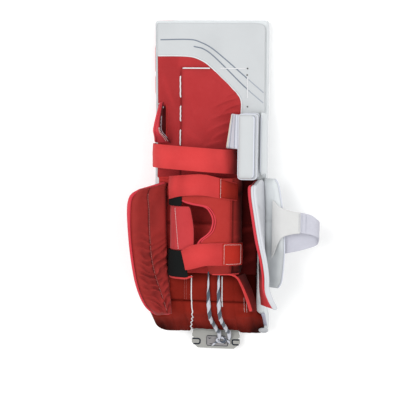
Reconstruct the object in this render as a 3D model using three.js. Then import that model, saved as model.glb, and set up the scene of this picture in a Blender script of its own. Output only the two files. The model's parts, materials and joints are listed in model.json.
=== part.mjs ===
// A goalie's leg pad for the left leg, lying on its front face with the leg side up.
// Millimetres. In the finished part +Z is up, +Y runs up the leg and +X is the inner side of the leg.
// The pieces are laid out in the pad's own frame, where y runs up the shin, z stands off the board's
// back, and z = 0 is that back face. One group at the end leans the pad as it lies.
import * as THREE from "three";

const DEGREE = Math.PI / 180;

// clearance between two pieces that touch
const CLEAR = 0.4;

// the board, bent forward at the boot and back at the thigh
const PAD_WIDTH = 279.4;
const BOARD_THICKNESS = 50;
const BOARD_CORNER = 8;
const BOOT_LENGTH = 115;
const BOOT_RADIUS = 70;
const BOOT_ANGLE = 60 * DEGREE;
const SHIN_START = 100;
const SHIN_LENGTH = 420;
const THIGH_LENGTH = 204;
const THIGH_RADIUS = 500;
const THIGH_ANGLE = 5.5 * DEGREE;

// the roll along the outer edge of the front face
const ROLL_WIDTH = 35;
const ROLL_DEPTH = 34;
const ROLL_PROUD = 2.4;

// padded panels on the back of the board
const PANEL_MARGIN = 6;
const BACK_PANEL_THICKNESS = 8;
const LINING_THICKNESS = 10;
const THIGH_LINING_RIGHT = 76;
const THIGH_LINING_TOP = 686;
const THIGH_LINING_SLOPE = 104;
const BACK_PANEL_FOOT = 548;
const LINING_SPLIT = 381;
const SEAM = 1.2;
const SHIN_LINING_LEFT = 130;
const BOOT_LINING_THICKNESS = 13;
const BOOT_LINING_OVERHANG = 15;

// laces on the thigh and in the boot
const LACE_WIDTH = 4;
const LACE_THICKNESS = 1.6;
const THIGH_LACE_LEFT = -75;
const THIGH_LACE_RIGHT = 91;
const THIGH_LACE_UP = 656;
const THIGH_LACE_INSET = 3;
const THIGH_LACE_ACROSS_END = -1;
const THIGH_LACE_ACROSS_AGAIN = 22;
const THIGH_LACE_LONG = 56;
const THIGH_LACE_SHORT = 42;
const THIGH_LACE_SKIP = 18;
const BOOT_LACE_LEFT = -47;
const BOOT_LACE_RIGHT = 36;
const TOE_LACE_WIDTH = 9;
const TOE_LACE_THICKNESS = 4;
const TOE_LACE_LEFT = 1;
const TOE_LACE_SPACING = 26;
const TOE_LACE_TOP = 150;

// the knee
const KNEE_BLOCK_LEFT = 80;
const KNEE_BLOCK_WIDTH = 43;
const KNEE_BLOCK_FOOT = 386;
const KNEE_BLOCK_LENGTH = 160;
const KNEE_BLOCK_HEIGHT = 104;
const KNEE_BLOCK_CORNER = 10;
const KNEE_COVER_THICKNESS = 6;
const KNEE_COVER_HEIGHT = 36;
const KNEE_COVER_LENGTH = 142;
const KNEE_COVER_SPLAY = 4;
const KNEE_WING_REACH = 22;
const KNEE_WING_SPLAY = 15;
const KNEE_WING_HEIGHT = 44;
const KNEE_WING_TOP = 81;
const KNEE_WING_THICKNESS = 8;
const KNEE_FLAP_ROOT = -122;
const KNEE_FLAP_FOOT = 478;
const KNEE_FLAP_LENGTH = 94;
const KNEE_FLAP_RISE = 54;
const KNEE_FLAP_REACH = 15;
const KNEE_FLAP_THICKNESS = 7;
const KNEE_STRAP_UP = 432;
const KNEE_STRAP_WIDTH = 60;
const KNEE_STRAP_SLANT = 14;
const KNEE_STRAP_HEIGHT = 76;
const KNEE_STRAP_TAIL = 24;
const STRAP_THICKNESS = 2.6;

// the wrap round the calf and what closes it
const CALF_LEFT = -92.5;
const CALF_RIGHT = 78;
const CALF_HEIGHT = 61;
const WRAP_FOOT = 150;
const WRAP_LENGTH = 235;
const WRAP_THICKNESS = 4;
const LEFT_WRAP_FOOT = 207;
const LEFT_WRAP_LENGTH = 108;
const TAB_THICKNESS = 3;
const PATCH_THICKNESS = 1.6;
const HOOK_TAB_FOOT = 141;
const HOOK_TAB_LENGTH = 64;
const UPPER_TAB_FOOT = 319;
const UPPER_TAB_LENGTH = 62;
const UPPER_STRAP_UP = 362;
const LOWER_STRAP_UP = 192;
const CALF_STRAP_WIDTH = 54;
const WEB_FOOT = 52;
const WEB_REACH = 112;
const WEB_THICKNESS = 3;

// the two calf wings and the flap and strap outside the inner one
const OUTER_WING_ROOT = -103;
const OUTER_WING_FOOT = 40;
const OUTER_WING_LENGTH = 332;
const OUTER_WING_REACH = 92;
const OUTER_WING_RISE = 62;
const OUTER_WING_THICKNESS = 18;
const INNER_WING_ROOT = 137;
const INNER_WING_SHIFT = 3;
const INNER_WING_FOOT = 55;
const INNER_WING_LENGTH = 315;
const INNER_WING_HEIGHT = 97;
const INNER_WING_THICKNESS = 10;
const INNER_WING_LINING = 3;
const WING_FLAP_FOOT = 113;
const WING_FLAP_LENGTH = 272;
const WING_FLAP_REACH = 52;
const WING_FLAP_THICKNESS = 13;
const WING_FLAP_LIFT = 16;
const SIDE_STRAP_END = 229;
const SIDE_STRAP_WIDTH = 50;
const SIDE_STRAP_FAN = 144;
const SIDE_STRAP_RISE = 17;
const SIDE_STRAP_SEAT = 25;
const SIDE_TAB_LENGTH = 43;
const SIDE_TAB_RETURN = 76;
const SIDE_TAB_DROP = 30;

// the toe
const TOE_PLATE_WIDTH = 126;
const TOE_PLATE_LENGTH = 52;
const TOE_PLATE_FLANGE = 15;
const TOE_PLATE_THICKNESS = 3.5;
const TOE_PATCH_WIDTH = 58;
const TOE_PATCH_THICKNESS = 3;
const BOOT_STRAP_ACROSS = 131;
const BOOT_STRAP_WIDTH = 12;
const BOOT_STRAP_LENGTH = 88;
const BUCKLE_LENGTH = 25;
const BUCKLE_WIDTH = 16;
const BUCKLE_THICKNESS = 6;

// what follows from those sizes
const HALF_WIDTH = PAD_WIDTH / 2;
const SHIN_END = SHIN_START + SHIN_LENGTH;
const TOE_END = SHIN_START - BOOT_RADIUS * BOOT_ANGLE - BOOT_LENGTH;
const TOP_END = SHIN_END + THIGH_RADIUS * THIGH_ANGLE + THIGH_LENGTH;
const INNER_WING_INSIDE =
  INNER_WING_ROOT - INNER_WING_SHIFT - INNER_WING_THICKNESS - INNER_WING_LINING - 2 * CLEAR;
const BOOT_SEAM = TOE_PLATE_WIDTH / 2 + SEAM;
const LINING_TOP = CLEAR + LINING_THICKNESS;
const SEAT = LINING_TOP + CLEAR;

const COLOURS = {
  white: 0xdde0de,
  red: 0xb03a3c,
  darkRed: 0x96302f,
  deepRed: 0x6e201c,
  strapRed: 0xe04d4d,
  salmon: 0xc84b50,
  black: 0x1e2321,
  ivory: 0xe4e4de,
  grey: 0xc8c8d4,
  plate: 0xa0a096,
  lace: 0xe0e0e4,
};

const clamp = (value, low, high) => Math.min(Math.max(value, low), high);
const mix = (from, to, share) => from + (to - from) * share;

// The board's back face as a bent line: its place and its tilt at a distance s along it.
function spine(s) {
  if (s < SHIN_START) {
    const bend = Math.min((SHIN_START - s) / BOOT_RADIUS, BOOT_ANGLE);
    const straight = Math.max(SHIN_START - s - BOOT_RADIUS * BOOT_ANGLE, 0);
    return {
      y: SHIN_START - BOOT_RADIUS * Math.sin(bend) - straight * Math.cos(bend),
      z: -BOOT_RADIUS * (1 - Math.cos(bend)) - straight * Math.sin(bend),
      tilt: bend,
    };
  }
  const bend = clamp((s - SHIN_END) / THIGH_RADIUS, 0, THIGH_ANGLE);
  const straight = Math.max(s - SHIN_END - THIGH_RADIUS * THIGH_ANGLE, 0);
  return {
    y: Math.min(s, SHIN_END) + THIGH_RADIUS * Math.sin(bend) + straight * Math.cos(bend),
    z: THIGH_RADIUS * (1 - Math.cos(bend)) + straight * Math.sin(bend),
    tilt: bend,
  };
}

// A point x across the board, s along its back face and h off that face.
function onPad(x, s, h) {
  const place = spine(s);
  return new THREE.Vector3(
    x,
    place.y - h * Math.sin(place.tilt),
    place.z + h * Math.cos(place.tilt),
  );
}

// The distances along the back face at which a long piece needs a section.
function stationsBetween(low, high) {
  const bends = [0, 0.25, 0.5, 0.75, 1].flatMap((share) => [
    SHIN_START - share * BOOT_RADIUS * BOOT_ANGLE,
    SHIN_END + share * THIGH_RADIUS * THIGH_ANGLE,
  ]);
  const inside = bends.filter((s) => s > low + SEAM && s < high - SEAM);
  return [low, ...inside.sort((a, b) => a - b), high];
}

// A closed solid from points and triangles, turned so that its faces point out.
function solid(points, faces) {
  let volume = 0;
  for (let i = 0; i < faces.length; i += 3) {
    const [a, b, c] = [points[faces[i]], points[faces[i + 1]], points[faces[i + 2]]];
    volume += a.dot(b.clone().cross(c));
  }
  const geometry = new THREE.BufferGeometry().setFromPoints(points);
  geometry.setIndex(volume > 0 ? faces : faces.slice().reverse());
  geometry.computeVertexNormals();
  return geometry;
}

// A solid between two grids of points that have the same rows and columns.
function shell(outer, inner) {
  const rows = outer.length;
  const columns = outer[0].length;
  const at = (side, row, column) => (side * rows + row) * columns + column;
  const faces = [];
  const quad = (a, b, c, d) => faces.push(a, b, c, a, c, d);
  for (let r = 0; r < rows - 1; r++) {
    for (let c = 0; c < columns - 1; c++) {
      quad(at(0, r, c), at(0, r, c + 1), at(0, r + 1, c + 1), at(0, r + 1, c));
      quad(at(1, r, c), at(1, r + 1, c), at(1, r + 1, c + 1), at(1, r, c + 1));
    }
    const last = columns - 1;
    quad(at(0, r, 0), at(0, r + 1, 0), at(1, r + 1, 0), at(1, r, 0));
    quad(at(0, r + 1, last), at(0, r, last), at(1, r, last), at(1, r + 1, last));
  }
  for (let c = 0; c < columns - 1; c++) {
    const last = rows - 1;
    quad(at(0, 0, c + 1), at(0, 0, c), at(1, 0, c), at(1, 0, c + 1));
    quad(at(0, last, c), at(0, last, c + 1), at(1, last, c + 1), at(1, last, c));
  }
  return solid([...outer.flat(), ...inner.flat()], faces);
}

// A solid through a row of rings that have the same number of points.
function loft(rings, outline) {
  const size = rings[0].length;
  const faces = [];
  for (let r = 0; r < rings.length - 1; r++) {
    for (let i = 0; i < size; i++) {
      const next = (i + 1) % size;
      faces.push(r * size + i, r * size + next, (r + 1) * size + next);
      faces.push(r * size + i, (r + 1) * size + next, (r + 1) * size + i);
    }
  }
  const end = (rings.length - 1) * size;
  const turn = THREE.ShapeUtils.area(outline);
  for (const cap of THREE.ShapeUtils.triangulateShape(outline, [])) {
    const agrees = THREE.ShapeUtils.area(cap.map((i) => outline[i])) * turn > 0;
    const [a, b, c] = agrees ? cap : cap.slice().reverse();
    faces.push(c, b, a);
    faces.push(end + a, end + b, end + c);
  }
  return solid(rings.flat(), faces);
}

// Rows of a table with named columns, with smooth rows added between them.
function refine(table, times) {
  const rows = [];
  const bend = (name, i, t) => {
    const value = (k) => table[clamp(k, 0, table.length - 1)][name];
    const [p, a, b, q] = [value(i - 1), value(i), value(i + 1), value(i + 2)];
    const slopeA = (b - p) / 2;
    const slopeB = (q - a) / 2;
    return (
      (2 * t ** 3 - 3 * t ** 2 + 1) * a +
      (t ** 3 - 2 * t ** 2 + t) * slopeA +
      (3 * t ** 2 - 2 * t ** 3) * b +
      (t ** 3 - t ** 2) * slopeB
    );
  };
  for (let i = 0; i < table.length - 1; i++) {
    for (let k = 0; k < times; k++) {
      const names = Object.keys(table[i]);
      rows.push(Object.fromEntries(names.map((name) => [name, bend(name, i, k / times)])));
    }
  }
  return [...rows, table[table.length - 1]];
}

// The value of one column of a table at a place between its rows.
function lookUp(table, key, place, name) {
  const after = table.findIndex((row) => row[key] >= place);
  if (after === 0) return table[0][name];
  if (after < 0) return table[table.length - 1][name];
  const [a, b] = [table[after - 1], table[after]];
  return mix(a[name], b[name], (place - a[key]) / (b[key] - a[key]));
}

// Shares from 0 to 1, closer together near both ends.
function spread(steps) {
  return Array.from({ length: steps + 1 }, (_, i) => (1 - Math.cos((Math.PI * i) / steps)) / 2);
}

// How full a padded panel is at shares u and v of its two sides: thin at the edge, full inside.
function crown(u, v, edge = 0.12, thin = 0.45) {
  const reach = clamp(Math.min(u, 1 - u, v, 1 - v) / edge, 0, 1);
  return thin + (1 - thin) * Math.sqrt(reach);
}

// A grid of points moved along its own normals; side 1 or -1 picks the direction.
function offset(grid, side, depth) {
  const rows = grid.length;
  const columns = grid[0].length;
  return grid.map((row, r) =>
    row.map((point, c) => {
      const across = row[Math.min(c + 1, columns - 1)].clone().sub(row[Math.max(c - 1, 0)]);
      const up = grid[Math.min(r + 1, rows - 1)][c].clone().sub(grid[Math.max(r - 1, 0)][c]);
      const normal = across.cross(up).normalize();
      const amount = typeof depth === "function" ? depth(c / (columns - 1), r / (rows - 1)) : depth;
      return point.clone().addScaledVector(normal, side * amount);
    }),
  );
}

// A padded panel on the board's back: columns at the given x, each from low(x) to high(x).
function padPanel({ columns, low, high, base, thickness, rows, edge = 0.12, thin = 0.45 }) {
  const layer = (lift) =>
    rows.map((v) =>
      columns.map((x, i) => {
        const u = i / (columns.length - 1);
        const full = lift ? crown(u, v, edge, thin) : 0;
        return onPad(x, mix(low(x), high(x), v), base + lift * full);
      }),
    );
  return shell(layer(thickness), layer(0));
}

// A flat strip on the board's back from one distance to another, such as a lace.
function padStrip({ left, right, from, to, base, thickness }) {
  const layer = (h) => stationsBetween(from, to).map((s) => [onPad(left, s, h), onPad(right, s, h)]);
  return shell(layer(base + thickness), layer(base));
}

const rootNodes = new THREE.Group();

function addNode(name, geometry, colour, roughness = 0.8) {
  const material = new THREE.MeshStandardMaterial({ color: COLOURS[colour], roughness, metalness: 0 });
  const mesh = new THREE.Mesh(geometry, material);
  mesh.name = name;
  rootNodes.add(mesh);
}

// The board: one section, notched for the roll, carried along the bent line.
function board() {
  const notch = -HALF_WIDTH + ROLL_WIDTH + CLEAR;
  const notchTop = -BOARD_THICKNESS + ROLL_DEPTH + CLEAR;
  const c = BOARD_CORNER;
  const section = (inset) => [
    [-HALF_WIDTH + inset, -c / 2],
    [-HALF_WIDTH + inset + c / 2, 0],
    [HALF_WIDTH - inset - c, 0],
    [HALF_WIDTH - inset - c / 3, -c / 3],
    [HALF_WIDTH - inset, -c],
    [HALF_WIDTH - inset, -BOARD_THICKNESS + 2 * c],
    [HALF_WIDTH - inset - c / 2, -BOARD_THICKNESS + c / 2],
    [HALF_WIDTH - inset - 2 * c, -BOARD_THICKNESS],
    [notch, -BOARD_THICKNESS],
    [notch, notchTop],
    [-HALF_WIDTH + inset, notchTop],
  ];
  const stations = stationsBetween(TOE_END, TOP_END - BOARD_CORNER).map((s) => [s, 0]);
  stations.push([TOP_END - BOARD_CORNER / 3, BOARD_CORNER / 3], [TOP_END, BOARD_CORNER]);
  const outline = section(0).map(([x, h]) => new THREE.Vector2(x, h));
  return loft(
    stations.map(([s, inset]) => section(inset).map(([x, h]) => onPad(x, s, h))),
    outline,
  );
}

// The roll along the outer edge of the front face.
function outerRoll() {
  const left = -HALF_WIDTH - ROLL_PROUD;
  const right = -HALF_WIDTH + ROLL_WIDTH;
  const front = -BOARD_THICKNESS;
  const back = front + ROLL_DEPTH;
  const round = ROLL_DEPTH / 3;
  const section = [
    [left + round, back],
    [right, back],
    [right, front],
    [left + round, front],
    [left + round / 3, front + round / 3],
    [left, front + round],
    [left, back - round],
    [left + round / 3, back - round / 3],
  ];
  return loft(
    stationsBetween(TOE_END, TOP_END - BOARD_CORNER).map((s) =>
      section.map(([x, h]) => onPad(x, s, h)),
    ),
    section.map(([x, h]) => new THREE.Vector2(x, h)),
  );
}

// The curved upper edge of the thigh lining, across from its left edge to its right one.
const THIGH_EDGE = [
  { across: 0.0, drop: 0.0 },
  { across: 0.04, drop: 0.0 },
  { across: 0.38, drop: 0.01 },
  { across: 0.5, drop: 0.06 },
  { across: 0.59, drop: 0.17 },
  { across: 0.67, drop: 0.3 },
  { across: 0.77, drop: 0.51 },
  { across: 0.88, drop: 0.73 },
  { across: 0.96, drop: 0.89 },
  { across: 1.0, drop: 1.0 },
];
const LINING_LEFT = -HALF_WIDTH + PANEL_MARGIN;
const thighEdge = (x) => {
  const across = (x - LINING_LEFT) / (THIGH_LINING_RIGHT - LINING_LEFT);
  return THIGH_LINING_TOP - THIGH_LINING_SLOPE * lookUp(THIGH_EDGE, "across", across, "drop");
};

function backPanels() {
  const columns = THIGH_EDGE.map((row) => mix(LINING_LEFT, THIGH_LINING_RIGHT, row.across));
  const right = HALF_WIDTH - PANEL_MARGIN;
  addNode(
    "back_panel",
    padPanel({
      columns: [...columns, THIGH_LINING_RIGHT + SEAM, mix(THIGH_LINING_RIGHT, right, 0.85), right],
      low: (x) => (x > THIGH_LINING_RIGHT ? BACK_PANEL_FOOT : thighEdge(x) + SEAM),
      high: () => TOP_END - PANEL_MARGIN,
      base: CLEAR,
      thickness: BACK_PANEL_THICKNESS,
      rows: [0, 0.12, 0.4, 0.88, 1],
    }),
    "white",
  );
  addNode(
    "thigh_lining",
    padPanel({
      columns,
      low: () => LINING_SPLIT + SEAM,
      high: thighEdge,
      base: CLEAR,
      thickness: LINING_THICKNESS,
      rows: [0, 0.04, 0.1, 0.2, 0.3, 0.4, 0.5, 0.6, 0.7, 0.8, 0.9, 0.96, 1],
      edge: 0.04,
    }),
    "red",
  );
  addNode(
    "shin_lining",
    padPanel({
      columns: spread(5).map((u) => mix(-SHIN_LINING_LEFT, INNER_WING_INSIDE - SEAM, u)),
      low: () => SHIN_START + SEAM,
      high: () => LINING_SPLIT,
      base: CLEAR,
      thickness: LINING_THICKNESS,
      rows: spread(4),
      edge: 0.05,
    }),
    "darkRed",
  );
}

// The boot's lining: three padded parts side by side, the outer two standing past the board.
function bootLinings() {
  const left = -HALF_WIDTH - BOOT_LINING_OVERHANG;
  const right = INNER_WING_INSIDE - SEAM;
  const plateEdge = TOE_END + TOE_PLATE_FLANGE + SEAM;
  const parts = [
    { name: "boot_lining_left", from: left, to: -BOOT_SEAM, foot: TOE_END },
    { name: "boot_lining_middle", from: SEAM - BOOT_SEAM, to: BOOT_SEAM - SEAM, foot: plateEdge },
    { name: "boot_lining_right", from: BOOT_SEAM, to: right, foot: TOE_END },
  ];
  for (const part of parts) {
    const stations = stationsBetween(part.foot, SHIN_START);
    const length = SHIN_START - part.foot;
    addNode(
      part.name,
      padPanel({
        columns: spread(4).map((u) => mix(part.from, part.to, u)),
        low: () => part.foot,
        high: () => SHIN_START,
        base: CLEAR,
        thickness: BOOT_LINING_THICKNESS,
        rows: [...new Set([...stations.map((s) => (s - part.foot) / length), 0.07])].sort(
          (a, b) => a - b,
        ),
        edge: 0.08,
      }),
      "deepRed",
    );
  }
}

// White laces: stitches across and down the thigh, and two long ones in the boot.
function laces() {
  const half = LACE_WIDTH / 2;
  const onRed = LINING_TOP + CLEAR;
  const onWhite = 2 * CLEAR + BACK_PANEL_THICKNESS;
  const [first, last] = [THIGH_LACE_LEFT + THIGH_LACE_INSET, THIGH_LACE_RIGHT - THIGH_LACE_INSET];
  const across = [
    { name: "thigh_lace_across_1", left: first, right: THIGH_LACE_ACROSS_END, base: onRed },
    { name: "thigh_lace_across_2", left: THIGH_LACE_ACROSS_AGAIN, right: last, base: onWhite },
  ];
  for (const lace of across) {
    addNode(
      lace.name,
      padStrip({
        left: lace.left,
        right: lace.right,
        from: THIGH_LACE_UP - half,
        to: THIGH_LACE_UP + half,
        base: lace.base,
        thickness: LACE_THICKNESS,
      }),
      "lace",
    );
  }
  const second = THIGH_LACE_SKIP + THIGH_LACE_LONG + THIGH_LACE_SKIP;
  const third = second + THIGH_LACE_SHORT + THIGH_LACE_SKIP;
  const [long, short] = [THIGH_LACE_LONG, THIGH_LACE_SHORT];
  const down = [
    { name: "thigh_lace_down_1", x: THIGH_LACE_LEFT, from: THIGH_LACE_SKIP, long, base: onRed },
    { name: "thigh_lace_down_2", x: THIGH_LACE_LEFT, from: second, long: short, base: onRed },
    { name: "thigh_lace_down_3", x: THIGH_LACE_LEFT, from: third, long: short, base: onRed },
    { name: "thigh_lace_down_4", x: THIGH_LACE_RIGHT, from: THIGH_LACE_SKIP, long, base: onWhite },
  ];
  for (const lace of down) {
    addNode(
      lace.name,
      padStrip({
        left: lace.x - half,
        right: lace.x + half,
        from: THIGH_LACE_UP - lace.from - lace.long,
        to: THIGH_LACE_UP - lace.from,
        base: lace.base,
        thickness: LACE_THICKNESS,
      }),
      "lace",
    );
  }
  for (const [name, x] of [["boot_lace_left", BOOT_LACE_LEFT], ["boot_lace_right", BOOT_LACE_RIGHT]]) {
    addNode(
      name,
      padStrip({
        left: x - half,
        right: x + half,
        from: TOE_END + TOE_PLATE_FLANGE + BOOT_LINING_THICKNESS,
        to: SHIN_START - BOOT_LINING_THICKNESS,
        base: 2 * CLEAR + BOOT_LINING_THICKNESS,
        thickness: LACE_THICKNESS,
      }),
      "lace",
    );
  }
}

// The landing block beside the knee, rounded at the top, with its side cover and its wing.
function kneeBlock() {
  const levels = [
    { height: 0.0, inset: 0.0 },
    { height: 0.5, inset: 0.0 },
    { height: 0.82, inset: 0.0 },
    { height: 0.95, inset: 0.15 },
    { height: 1.0, inset: 0.48 },
  ];
  const r = KNEE_BLOCK_CORNER;
  const ring = (inset) => {
    const left = KNEE_BLOCK_LEFT + inset;
    const right = KNEE_BLOCK_LEFT + KNEE_BLOCK_WIDTH - inset;
    const low = KNEE_BLOCK_FOOT + inset;
    const high = KNEE_BLOCK_FOOT + KNEE_BLOCK_LENGTH - inset;
    return [
      [left, low + r],
      [left + r / 3, low + r / 3],
      [left + r, low],
      [right - r, low],
      [right - r / 3, low + r / 3],
      [right, low + r],
      [right, high - r],
      [right - r / 3, high - r / 3],
      [right - r, high],
      [left + r, high],
      [left + r / 3, high - r / 3],
      [left, high - r],
    ];
  };
  const rings = levels.map((level) =>
    ring(level.inset * r).map(([x, s]) => onPad(x, s, CLEAR + level.height * KNEE_BLOCK_HEIGHT)),
  );
  addNode("knee_block", loft(rings, ring(0).map(([x, s]) => new THREE.Vector2(x, s))), "white");

  const coverLeft = KNEE_BLOCK_LEFT + KNEE_BLOCK_WIDTH + 2 * CLEAR;
  const coverFoot = KNEE_BLOCK_FOOT + KNEE_BLOCK_LENGTH - KNEE_COVER_LENGTH;
  const coverFace = (lift) =>
    spread(4).map((v) =>
      [0, 0.5, 1].map((u) =>
        onPad(
          coverLeft + KNEE_COVER_SPLAY * u + lift * crown(u, v, 0.2, 0.5),
          coverFoot + KNEE_COVER_LENGTH * v,
          CLEAR + KNEE_COVER_HEIGHT * u * crown(0.5, v, 0.3, 0.75),
        ),
      ),
    );
  addNode("knee_block_cover", shell(coverFace(KNEE_COVER_THICKNESS), coverFace(0)), "white");

  // the wing slopes from the block's left side down towards the leg
  const foot = KNEE_STRAP_UP + KNEE_STRAP_WIDTH / 2 - KNEE_STRAP_SLANT * 0.3;
  const head = KNEE_BLOCK_FOOT + KNEE_BLOCK_LENGTH - SEAM;
  const wingBase = [0, 0.35, 0.7, 1].map((v) =>
    [0, 0.5, 1].map((u) =>
      onPad(
        KNEE_BLOCK_LEFT - CLEAR - (KNEE_WING_REACH + KNEE_WING_SPLAY * (1 - v)) * u,
        mix(foot, head, v),
        KNEE_WING_TOP - KNEE_WING_HEIGHT * u,
      ),
    ),
  );
  addNode(
    "knee_wing",
    shell(
      offset(wingBase, -1, (u, v) => KNEE_WING_THICKNESS * crown(u, v, 0.3, 0.5)),
      wingBase,
    ),
    "ivory",
  );
}

// The red flap that stands up along the outer side of the knee.
const KNEE_FLAP = [
  { up: 0.0, rise: 0.06, lean: -0.9 },
  { up: 0.12, rise: 0.3, lean: -0.2 },
  { up: 0.24, rise: 0.88, lean: 0.75 },
  { up: 0.34, rise: 1.0, lean: 1.0 },
  { up: 0.56, rise: 0.98, lean: 0.95 },
  { up: 0.78, rise: 0.7, lean: 0.6 },
  { up: 0.92, rise: 0.35, lean: 0.2 },
  { up: 1.0, rise: 0.12, lean: 0.0 },
];

function kneeFlap() {
  const base = refine(KNEE_FLAP, 2).map((row) =>
    [0, 0.33, 0.67, 1].map((u) =>
      onPad(
        KNEE_FLAP_ROOT - KNEE_FLAP_REACH * row.lean * u * u,
        KNEE_FLAP_FOOT + KNEE_FLAP_LENGTH * row.up,
        SEAT + CLEAR + KNEE_FLAP_RISE * row.rise * u,
      ),
    ),
  );
  const outer = offset(base, 1, (u, v) => KNEE_FLAP_THICKNESS * crown(0.5, v, 0.1, 0.5));
  addNode("knee_flap", shell(outer, base), "red");
}

// The arch over the leg: a rounded bridge from one root on the lining to the other.
// place runs from -1 at the left root to 1 at the right one, lift is the layer's height over the arch.
const ARCH_SQUARENESS = 3;
function archPoint(arch, place, y, lift) {
  const middle = (arch.left + arch.right) / 2;
  const half = (arch.right - arch.left) / 2;
  const rise = (1 - Math.abs(place) ** ARCH_SQUARENESS) ** (1 / ARCH_SQUARENESS);
  return new THREE.Vector3(middle + (half + lift) * place, y, arch.base + (arch.height + lift) * rise);
}

const CALF_ARCH = { left: CALF_LEFT, right: CALF_RIGHT, height: CALF_HEIGHT, base: SEAT };

// Places along the arch between two of them, closer together where it is steep.
function archPlaces(from, to, steps) {
  const angle = (place) => Math.asin(clamp(Math.sign(place) * Math.abs(place) ** 1.5, -1, 1));
  return Array.from({ length: steps + 1 }, (_, i) => {
    const value = Math.sin(mix(angle(from), angle(to), i / steps));
    return Math.sign(value) * Math.abs(value) ** (1 / 1.5);
  });
}

// A layer over the arch: rows hold y and the two places between which the layer lies.
function archLayer({ arch = CALF_ARCH, rows, lift, thickness, steps, tail = 0 }) {
  const layer = (height) =>
    rows.map((row) => {
      const points = archPlaces(row.from, row.to, steps).map((place) => {
        const y = mix(row.y, row.yRight ?? row.y, (place - row.from) / (row.to - row.from));
        return archPoint(arch, place, y, height);
      });
      if (tail) points.unshift(points[0].clone().add(new THREE.Vector3(0, 0, -tail)));
      return points;
    });
  return shell(layer(lift + thickness), layer(lift));
}

const TAB_LIFT = WRAP_THICKNESS + 2 * CLEAR;
const STRAP_LIFT = TAB_LIFT + TAB_THICKNESS + 2 * CLEAR;

// The knee strap, from the outside of the board over the knee to its inner side.
function kneeStrap() {
  const arch = {
    left: -HALF_WIDTH - CLEAR,
    right: KNEE_BLOCK_LEFT - KNEE_WING_THICKNESS,
    height: KNEE_STRAP_HEIGHT,
    base: SEAT,
  };
  const slant = KNEE_STRAP_SLANT / 2;
  const rows = [-0.5, 0, 0.5].map((share) => ({
    y: KNEE_STRAP_UP + slant + share * KNEE_STRAP_WIDTH,
    yRight: KNEE_STRAP_UP - slant + share * KNEE_STRAP_WIDTH,
    from: -1,
    to: 1,
  }));
  const tail = KNEE_STRAP_TAIL;
  addNode(
    "knee_strap",
    archLayer({ arch, rows, lift: 0, thickness: STRAP_THICKNESS, steps: 16, tail }),
    "strapRed",
  );
}

// The free edge of the right wrap, up from its foot, with the D-shaped gap for the calf.
const WRAP_EDGE = [
  { up: 0.0, from: 0.24 },
  { up: 0.17, from: 0.02 },
  { up: 0.28, from: -0.16 },
  { up: 0.315, from: -0.13 },
  { up: 0.355, from: -0.03 },
  { up: 0.417, from: 0.21 },
  { up: 0.47, from: 0.31 },
  { up: 0.572, from: 0.35 },
  { up: 0.66, from: 0.24 },
  { up: 0.71, from: 0.04 },
  { up: 0.732, from: -0.33 },
  { up: 0.757, from: -0.56 },
  { up: 0.81, from: -0.8 },
  { up: 1.0, from: -0.8 },
];

// The free edge of the left wrap.
const LEFT_WRAP_EDGE = [
  { up: 0.0, to: -0.28 },
  { up: 0.5, to: -0.29 },
  { up: 0.85, to: -0.36 },
  { up: 1.0, to: -0.41 },
];

function calfWraps() {
  addNode(
    "calf_wrap_right",
    archLayer({
      rows: WRAP_EDGE.map((row) => ({ y: WRAP_FOOT + WRAP_LENGTH * row.up, from: row.from, to: 1 })),
      lift: 0,
      thickness: WRAP_THICKNESS,
      steps: 9,
    }),
    "strapRed",
  );
  addNode(
    "calf_wrap_left",
    archLayer({
      rows: LEFT_WRAP_EDGE.map((row) => ({
        y: LEFT_WRAP_FOOT + LEFT_WRAP_LENGTH * row.up,
        from: -1,
        to: row.to,
      })),
      lift: 0,
      thickness: WRAP_THICKNESS,
      steps: 8,
    }),
    "salmon",
  );
  const web = [
    { up: 0.0, left: 1.0, right: 1.0, rise: 0.1 },
    { up: 0.35, left: 0.72, right: 0.82, rise: 0.4 },
    { up: 0.7, left: 0.38, right: 0.48, rise: 0.7 },
    { up: 1.0, left: 0.0, right: 0.1, rise: 0.95 },
  ];
  const webLeft = mix(CALF_LEFT, CALF_RIGHT, 0.9);
  const grid = web.map((row) =>
    [0, 0.5, 1].map(
      (u) =>
        new THREE.Vector3(
          mix(webLeft + (WEB_REACH - webLeft) * row.left, CALF_RIGHT + 44 * row.right, u),
          mix(WEB_FOOT, WRAP_FOOT - SEAM - WEB_THICKNESS, row.up),
          SEAT + CALF_HEIGHT * row.rise * 0.9 * (1 - u),
        ),
    ),
  );
  addNode("calf_web", shell(offset(grid, 1, WEB_THICKNESS), grid), "strapRed");
}

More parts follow.
